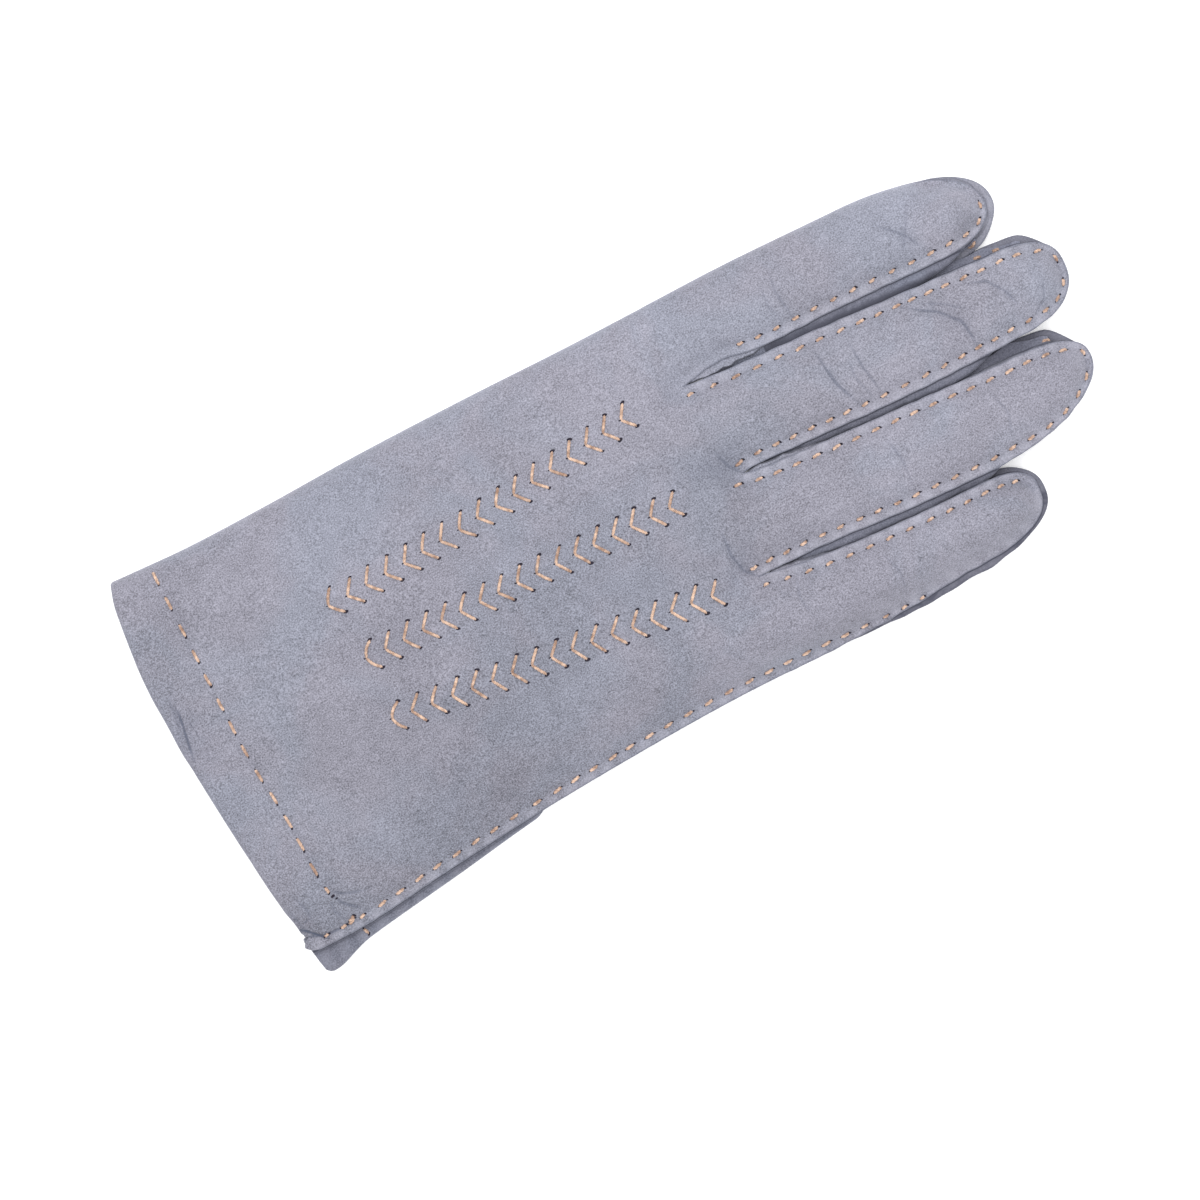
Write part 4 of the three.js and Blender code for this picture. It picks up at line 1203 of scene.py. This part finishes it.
# the outseam, from the cuff to where it rolls over the side of the little finger
paths = []
for k in range(outseam["count"]):
    start = outseam["start"] if k == 0 else {"onward": outseam["onward"], "long": 1}
    x = outseam["first"] + outseam["step"] * k + jitter(sewing["shift"]) + start["onward"]
    x += curve(outseam["moved"], x)
    half = outseam["firstLong" if k < 3 else "long"] / 2 * (1 + jitter(sewing["uneven"]))
    half *= (1 - outseam["shorter"] * over("shortStitch", x)) * start["long"]
    spots = outseamSpots(x, half)
    lift = start.get("lift", 1 - outseam["lower"] * over("lowStitch", x))
    paths.append(stitchPath(trankSeat, *spots, lift=lift))
    holePlaces += holesAt(*spots)
# at the cuff the thread goes twice through one place, and comes out on the palm's side
for spots in outseam["cuff"]:
    paths.append(stitchPath(trankSeat, *spots))
    holePlaces += holesAt(*spots)
threads.append(makeThread("outseam_stitching", paths))

# the hem
paths = []
for below in (False, True):
    for k in range(hemStitch["count"]):
        last = k == hemStitch["count"] - 1
        y = hemStitch["first"] + hemStitch["step"] * (k + 0.5 * below) + jitter(sewing["shift"])
        y += curve(hemStitch["moved"], k + 0.5 * below)
        half = hemStitch["last" if last else "long"] / 2 * (1 + jitter(hemStitch["uneven"]))
        half *= hemStitch["under"] if below else 1
        spots = [(curve(hemStitch["line"], at) + jitter(thread["sway"]), at)
                 for at in (y - half, y + half)]
        if last and below:
            continue
        paths.append(stitchPath(trankSeat, *spots, below))
        holePlaces += [] if below else holesAt(*spots)
holePlaces += hemStitch["slit"]
threads.append(makeThread("hem_stitching", paths))

# the points: three rows of arrowheads on the back, each of two slanting stitches; a hole, dark with
# painted shade, is so far past its stitch's end, so much turned and so large
points = {"count": 17, "along": 2.45, "across": 3.2, "gap": 0.16, "apart": 0.24, "lift": 1.15,
          "sway": 0.12, "last": 0.9, "uneven": 0.03, "leanSway": 2.5, "bow": 0.03, "bowSway": 0.07,
          "hole": (0.4, 0.6, 1.3), "vertexHole": (-0.35, 1.57, 0.6), "rows": [
              {"start": (47.3, 30.0), "end": (128.8, 22.3), "bend": 1.25, "first": 0.12},
              {"start": (49.5, 45.0), "end": (129.6, 45.8), "bend": 0, "first": 0.36},
              {"start": (48.5, 60.5), "end": (129.0, 69.1), "bend": 0, "first": 0.36}]}
paths = []
for row in points["rows"]:
    (ax, ay), (bx, by) = row["start"], row["end"]
    turn = math.atan2(by - ay, bx - ax)
    for k in range(points["count"]):
        t = k / (points["count"] - 1)
        vertex = (mix(ax, bx, t) + jitter(points["sway"]),
                  mix(ay, by, t) + 4 * row["bend"] * t * (1 - t) + jitter(points["sway"]))
        size = (points["last"] if t == 1 else 1) * (1 + jitter(points["uneven"]))
        for side in (-1, 1):
            lean = turn + side * math.radians(jitter(points["leanSway"]))
            far = turned(vertex, lean, points["along"] * size, side * points["across"] * size)
            near = turned(vertex, turn, points["gap"], side * points["apart"])
            bow = side * (points["bow"] + jitter(points["bowSway"]) if k else row["first"])
            paths.append(stitchPath(trankSeat, near, far, bow=bow, lift=points["lift"]))
            out = math.atan2(far[1] - near[1], far[0] - near[0])
            past, aside, large = points["hole"]
            holePlaces.append((*turned(far, out, past), out + side * aside, large))
        past, aside, large = points["vertexHole"]
        holePlaces.append((vertex[0] + past, vertex[1], turn + aside, large))
threads.append(makeThread("points_embroidery", paths))

# the thumb's own seam, underneath
thumbStitch = {"first": 2, "step": 4.6, "count": 9, "long": 2.4, "seamIn": 3.0}
paths = []
for k in range(thumbStitch["count"]):
    s = thumbStitch["first"] + thumbStitch["step"] * k
    radius = mix(thumb["baseRadius"], thumb["tipRadius"], s / math.dist(thumb["base"], thumb["tip"]))
    spots = [turned(thumb["base"], thumbTurn, at, radius - thumbStitch["seamIn"])
             for at in (s - thumbStitch["long"] / 2, s + thumbStitch["long"] / 2)]
    paths.append(stitchPath(thumbSeat, *spots, True))
threads.append(makeThread("thumb_stitching", paths))

# needle holes: small funnels at the ends of the stitches, coloured dark as painted shade inside the
# holes
hole = {"long": 0.46, "wide": 0.27, "sides": 10, "deep": 0.25, "rim": 0.035, "lid": 0.012,
        "leanSway": 0.3, "uneven": 0.25}
holePoints, holeFaces = [], []
for x, y, lean, size in holePlaces:
    spot = seatAt(trankSeat, x, y)
    if spot is None:
        continue
    place, normal = spot
    lean += jitter(hole["leanSway"])
    side = np.cross(normal, [math.cos(lean), math.sin(lean), 0.0])
    side /= np.linalg.norm(side)
    other = np.cross(normal, side)
    first, sides = len(holePoints), hole["sides"]
    size *= 1 + jitter(hole["uneven"])
    for j in range(sides):
        angle = 2 * math.pi * j / sides
        holePoints.append(place + normal * hole["rim"] + hole["long"] * size * side * math.cos(angle)
                          + hole["wide"] * size * other * math.sin(angle))
    holePoints += [place + normal * hole["lid"], place - normal * hole["deep"]]
    for j in range(sides):
        a, b = first + j, first + (j + 1) % sides
        holeFaces += [[a, b, first + sides], [b, a, first + sides + 1]]
holePiece = makeMesh("needle_holes", np.array(holePoints), holeFaces, sharp=40)
print("threads:", [len(piece.data.polygons) for piece in threads])


class Wire:
    # one socket of a finish, so that its maths reads as plain expressions
    def __init__(self, finish, socket):
        self.finish, self.socket = finish, socket

    def math(self, operation, a, b=0.0):
        return self.finish.node("Math", {"operation": operation}, [a, b])

    def __add__(self, other):
        return self.math("ADD", self, other)

    def __sub__(self, other):
        return self.math("SUBTRACT", self, other)

    def __rsub__(self, other):
        return self.math("SUBTRACT", other, self)

    def __mul__(self, other):
        return self.math("MULTIPLY", self, other)

    def __abs__(self):
        return self.math("ABSOLUTE", self)

    __radd__ = __add__
    __rmul__ = __mul__


class Finish:
    def __init__(self, name):
        self.material = bpy.data.materials.new(name)
        self.material.use_nodes = True
        self.tree = self.material.node_tree
        self.tree.nodes.clear()
        self.place = self.node("TexCoord", out=3)

    def node(self, kind, settings=None, values=None, out=0):
        made = self.tree.nodes.new("ShaderNode" + kind)
        for key, value in (settings or {}).items():
            setattr(made, key, value)
        pairs = values.items() if isinstance(values, dict) else enumerate(values or [])
        for key, value in pairs:
            if isinstance(value, Wire):
                self.tree.links.new(value.socket, made.inputs[key])
            else:
                made.inputs[key].default_value = value
        return Wire(self, made.outputs[out]) if len(made.outputs) else None

    def noise(self, scale, detail=2.0, rough=0.5, swirl=0.0, place=None):
        return self.node("TexNoise", {}, {"Vector": place or self.place, "Scale": scale,
                                          "Detail": detail, "Roughness": rough, "Distortion": swirl})

    def field(self, name):
        return self.node("Attribute", {"attribute_name": name}, out=2)

    def ramp(self, value, low, high):
        # 0 below low, 1 above high
        return self.node("MapRange", {"interpolation_type": "SMOOTHSTEP"},
                         {"Value": value, "From Min": low, "From Max": high})

    def blend(self, share, a, b, way="MIX"):
        return self.node("Mix", {"data_type": "RGBA", "blend_type": way}, {0: share, 6: a, 7: b}, 2)

    def shade(self, colour, grey):
        return self.blend(1.0, colour, self.node("CombineColor", {}, [grey] * 3), "MULTIPLY")

    def line(self, distance, thin, wide):
        # 1 on a line and 0 off it, from the distance to it
        return 1 - self.ramp(abs(distance), thin, wide)

    def bump(self, strength, distance, height):
        return self.node("Bump", {}, {"Strength": strength, "Distance": distance, "Height": height})

    def close(self, constants, links):
        shader = self.node("BsdfPrincipled", {}, {**constants, **links})
        self.node("OutputMaterial", {}, {"Surface": shader})
        return self.material


def tint(red, green, blue):
    shades = [c / 255 for c in (red, green, blue)]
    return (*[c / 12.92 if c < 0.04045 else ((c + 0.055) / 1.055) ** 2.4 for c in shades], 1)


suede = {
    # blueGrey and violetGrey are the suede's own greys and flesh its inner side; the worn tone is real
    # wear together with painted highlight; deep, shaded and under are painted shade and shadow
    "blueGrey": tint(126, 128, 140), "violetGrey": tint(129, 128, 139),
    "wornAndLit": tint(160, 160, 172), "deep": tint(78, 83, 99), "flesh": tint(132, 133, 145),
    "shaded": tint(112, 118, 138), "under": tint(76, 77, 89),
    # scale, detail, roughness and swirl of each noise, and how much it shades and stands up
    "noises": {"cloud": (34, 3.0, 0.6, 0.6), "large": (23.8, 2.0, 0.5, 0.3),
               "fine": (105, 3.0, 0.6), "nap": (2900, 1.0, 0.5), "strokes": (620, 3.0, 0.65, 0.3),
               "wrinkles": (300, 3.0, 0.55, 0.8)},
    "shade": {"large": 0.4, "fine": 0.35, "nap": 1.8, "strokes": 0.4},
    "height": {"nap": 0.35, "strokes": 0.3, "wrinkles": 0.5, "fine": 0.4},
    "brushed": ((0, 0, 0.5), (0.6, 1.0, 1.0)),  # turn and stretch of the strokes
    "paintedLightFall": (0.55, 1.35),  # painted light: lighter towards the fingertips and towards the forefinger
    "foldWide": 0.48, "rough": 0.93, "sheen": 0.28, "bump": 0.0003,
}


def trankLayers(f, fine, strokes):
    edge, inside, dusk, beyond = [f.field(name) for name in ("edge", "inside", "dusk", "beyond")]
    # worn beside the stitches, with painted highlight on the puffs between them; painted shade sunk in
    # the dents
    between = 0.5 - f.node("Math", {"operation": "COSINE"}, [f.field("phase") * (2 * math.pi)]) * 0.5
    wornAndLit = (1 - f.ramp(edge, 0.6, 3.6)) * (between * 0.5 + 0.02) * (fine * 1.4)
    # painted shade, darker where the leather is dented
    dentShade = f.ramp(f.field("dent") * -1.0, 0.05, 0.9)
    # the sharp creases, fine lines of painted shade where their two fields of distances change sign
    lines = [(1 - f.ramp(abs(f.field(f"fold{k}")) + (strokes - 0.5) * 0.7, 0.05, suede["foldWide"]))
             * f.field(f"foldShare{k}") for k in (0, 1)]
    folded = f.node("Math", {"operation": "MAXIMUM"}, lines)
    # painted shade along the raw edge
    rawEdge = 1 - f.ramp(edge, 0.05, 0.38)
    # painted shade: the palm's inner side is drawn dark where it shows beyond the backs of the last
    # three fingers
    palmShade = f.ramp(inside, 0.15, 0.4) * dusk
    mottle = f.ramp(fine, 0.3, 0.7) * 0.35 + f.ramp(strokes, 0.3, 0.7) * 0.3
    # and a painted shadow line wherever it passes under the back's raw edge, doubled at the cuff
    edgeShadow = f.line(beyond - 0.1, 0.1, 0.3) * 0.95
    edgeShadow = edgeShadow + f.line(beyond - 0.75, 0.06, 0.22) * 0.35 * (1 - dusk)
    return folded, [(wornAndLit, "wornAndLit"), (dentShade * 0.2, "deep"), (folded * 0.45, "deep"),
                    (rawEdge * 0.38, "deep"), (inside * 0.35, "flesh"),
                    (palmShade * (mottle + 0.45), "under"), (edgeShadow, "under")]


def forkLayers(f, strokes, along, across, darker):
    edge, toNext = f.field("edge"), f.field("next")
    lipped = 1 - f.ramp(edge, 1.5, 2.6)
    # painted shade along the raw edge, and painted shadow lines where the lip passes under the back's
    # edge and beside the next finger's edge
    rawEdge = 1 - f.ramp(edge, 0.03, 0.2)
    near = f.node("Math", {"operation": "MINIMUM"}, [abs(f.field("covered") + 0.08),
                                                    abs(toNext - 0.15)])
    # painted shade, ragged and darker towards the next finger
    shady = 1 - f.ramp(toNext + (strokes - 0.5) * 2.4, 0.3, 1.3)
    # deep in shade towards the tips, most of all beside the forefinger
    low = 1 - f.ramp(toNext + (strokes - 0.5) * 1.6, 0.9, 2.7)
    outer = f.ramp(along, 0.03, 0.07) * (1 - lipped * 0.5) * 0.14
    outer = outer + low * f.ramp(across, 0.012, 0.024) * 0.75
    return [(darker - lipped * darker, "shaded"), (shady * 0.6, "under"), (outer, "under"),
            (rawEdge * 0.55, "under"), ((1 - f.ramp(near, 0.08, 0.3)) * 0.8, "under")]


def suedeFinish(name, darker=0.0, seamed=False):
    f = Finish(name)
    turn, stretch = suede["brushed"]
    brushed = f.node("Mapping", {}, {"Vector": f.place, "Rotation": turn, "Scale": stretch})
    noises = {kind: f.noise(*numbers, place=brushed if kind == "strokes" else f.place)
              for kind, numbers in suede["noises"].items()}
    along, across = [f.node("SeparateXYZ", {}, [f.place], axis) for axis in (0, 1)]
    # painted light: the colour is lighter towards the fingertips and towards the forefinger
    shade = along * suede["paintedLightFall"][0] + across * suede["paintedLightFall"][1] + 1
    for kind, amount in suede["shade"].items():
        shade = shade + (noises[kind] - 0.5) * amount
    colour = f.blend(f.ramp(noises["cloud"], 0.38, 0.62), suede["blueGrey"], suede["violetGrey"])
    colour = f.shade(colour, shade)
    height = sum(noises[kind] * amount for kind, amount in suede["height"].items())
    layers = []
    if seamed:
        folded, layers = trankLayers(f, noises["fine"], noises["strokes"])
        height = height - folded * 0.9
    # the fourchettes take painted shade
    if darker:
        layers = forkLayers(f, noises["strokes"], along, across, darker)
    for share, tone in layers:
        colour = f.blend(share, colour, suede[tone])
    return f.close({"Sheen Weight": suede["sheen"], "Sheen Roughness": 0.45,
                    "Sheen Tint": (0.85, 0.87, 1, 1), "Specular IOR Level": 0.22},
                   {"Base Color": colour, "Normal": f.bump(0.55, suede["bump"], height),
                    "Roughness": (noises["strokes"] - 0.5) * 0.1 + suede["rough"]})


twine = {"light": tint(216, 185, 163), "dark": tint(146, 115, 98), "fleck": (700, 3.0, 0.6),
         "hair": (5200, 2.0, 0.6), "rough": 0.7, "bump": 0.00012}


def twineFinish():
    f = Finish("buttonhole_twist")
    fleck, hair = f.noise(*twine["fleck"]), f.noise(*twine["hair"])
    colour = f.blend(f.ramp(fleck, 0.3, 0.7), twine["dark"], twine["light"])
    return f.close({"Sheen Weight": 0.2, "Specular IOR Level": 0.4},
                   {"Base Color": f.shade(colour, (hair - 0.5) * 0.35 + 1),
                    "Roughness": (hair - 0.5) * 0.2 + twine["rough"],
                    "Normal": f.bump(0.5, twine["bump"], hair)})


def holeShadeFinish():
    f = Finish("needle_hole_shade")
    fleck = f.noise(1500)
    return f.close({"Specular IOR Level": 0.1},
                   {"Base Color": f.blend(fleck, tint(26, 24, 32), tint(56, 52, 62)),
                    "Roughness": fleck * 0.1 + 0.85})


for pieces, name, finish in [
        ([trankPiece], "suede_trank", suedeFinish("suede_trank", seamed=True)),
        (forkPieces, "suede_fourchette", suedeFinish("suede_fourchette", 0.35)),
        ([thumbPiece], "suede_thumb", suedeFinish("suede_thumb"))]:
    for piece in pieces:
        piece.data.materials.append(finish)
twist = twineFinish()
for piece in threads:
    piece.data.materials.append(twist)
holePiece.data.materials.append(holeShadeFinish())
for piece, name in zip([trankPiece, thumbPiece, *forkPieces], ["trank", "thumb", *forkNames]):
    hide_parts(name)
for piece in [trankPiece, thumbPiece, *forkPieces, *threads, holePiece]:
    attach(piece, "root")
print("finishes done")


view = {"wide": 0.2849, "centre": (105.1, 57.9), "turn": 27, "high": 1.35, "plane": 0.009}

bpy.ops.mesh.primitive_plane_add(size=8, location=(0, 0, 0))
table = bpy.context.object
table.name = "table"
tableFinish = Finish("table_paper")
paper = tableFinish.noise(9, 2.0)
table.data.materials.append(tableFinish.close(
    {"Specular IOR Level": 0.1, "Emission Color": (1, 1, 1, 1), "Emission Strength": 0.24},
    {"Base Color": tableFinish.blend(paper, tint(250, 250, 250), tint(252, 252, 252)),
     "Roughness": paper * 0.1 + 0.85}))


def softbox(name, place, size, power, colour=(1, 1, 1)):
    data = bpy.data.lights.new(name, "AREA")
    data.shape, data.size, data.energy, data.color = "DISK", size, power, colour
    box = bpy.data.objects.new(name, data)
    box.location = place
    box.rotation_euler = (-Vector(place)).to_track_quat("-Z", "Y").to_euler()
    bpy.context.scene.collection.objects.link(box)


softbox("overhead", (0.02, 0.42, 1.5), 1.5, 21)
softbox("fill", (0.1, -0.6, 1.4), 1.6, 6)

world = bpy.data.worlds.new("studio")
world.use_nodes = True
world.node_tree.nodes["Background"].inputs[0].default_value = (1, 1, 1, 1)
world.node_tree.nodes["Background"].inputs[1].default_value = 0.74
bpy.context.scene.world = world
bpy.context.scene.view_settings.view_transform = "Standard"

lens = bpy.data.cameras.new("above")
lens.sensor_width = 36
lens.lens = 36 * (view["high"] - view["plane"]) / view["wide"]
lens.clip_start, lens.clip_end = 0.05, 20
camera = bpy.data.objects.new("above", lens)
cx, cy, _ = toFrame([*view["centre"], 0])
camera.location = (cx, cy, view["high"])
camera.rotation_euler = (0, 0, math.radians(-view["turn"]))
bpy.context.scene.collection.objects.link(camera)
bpy.context.scene.camera = camera
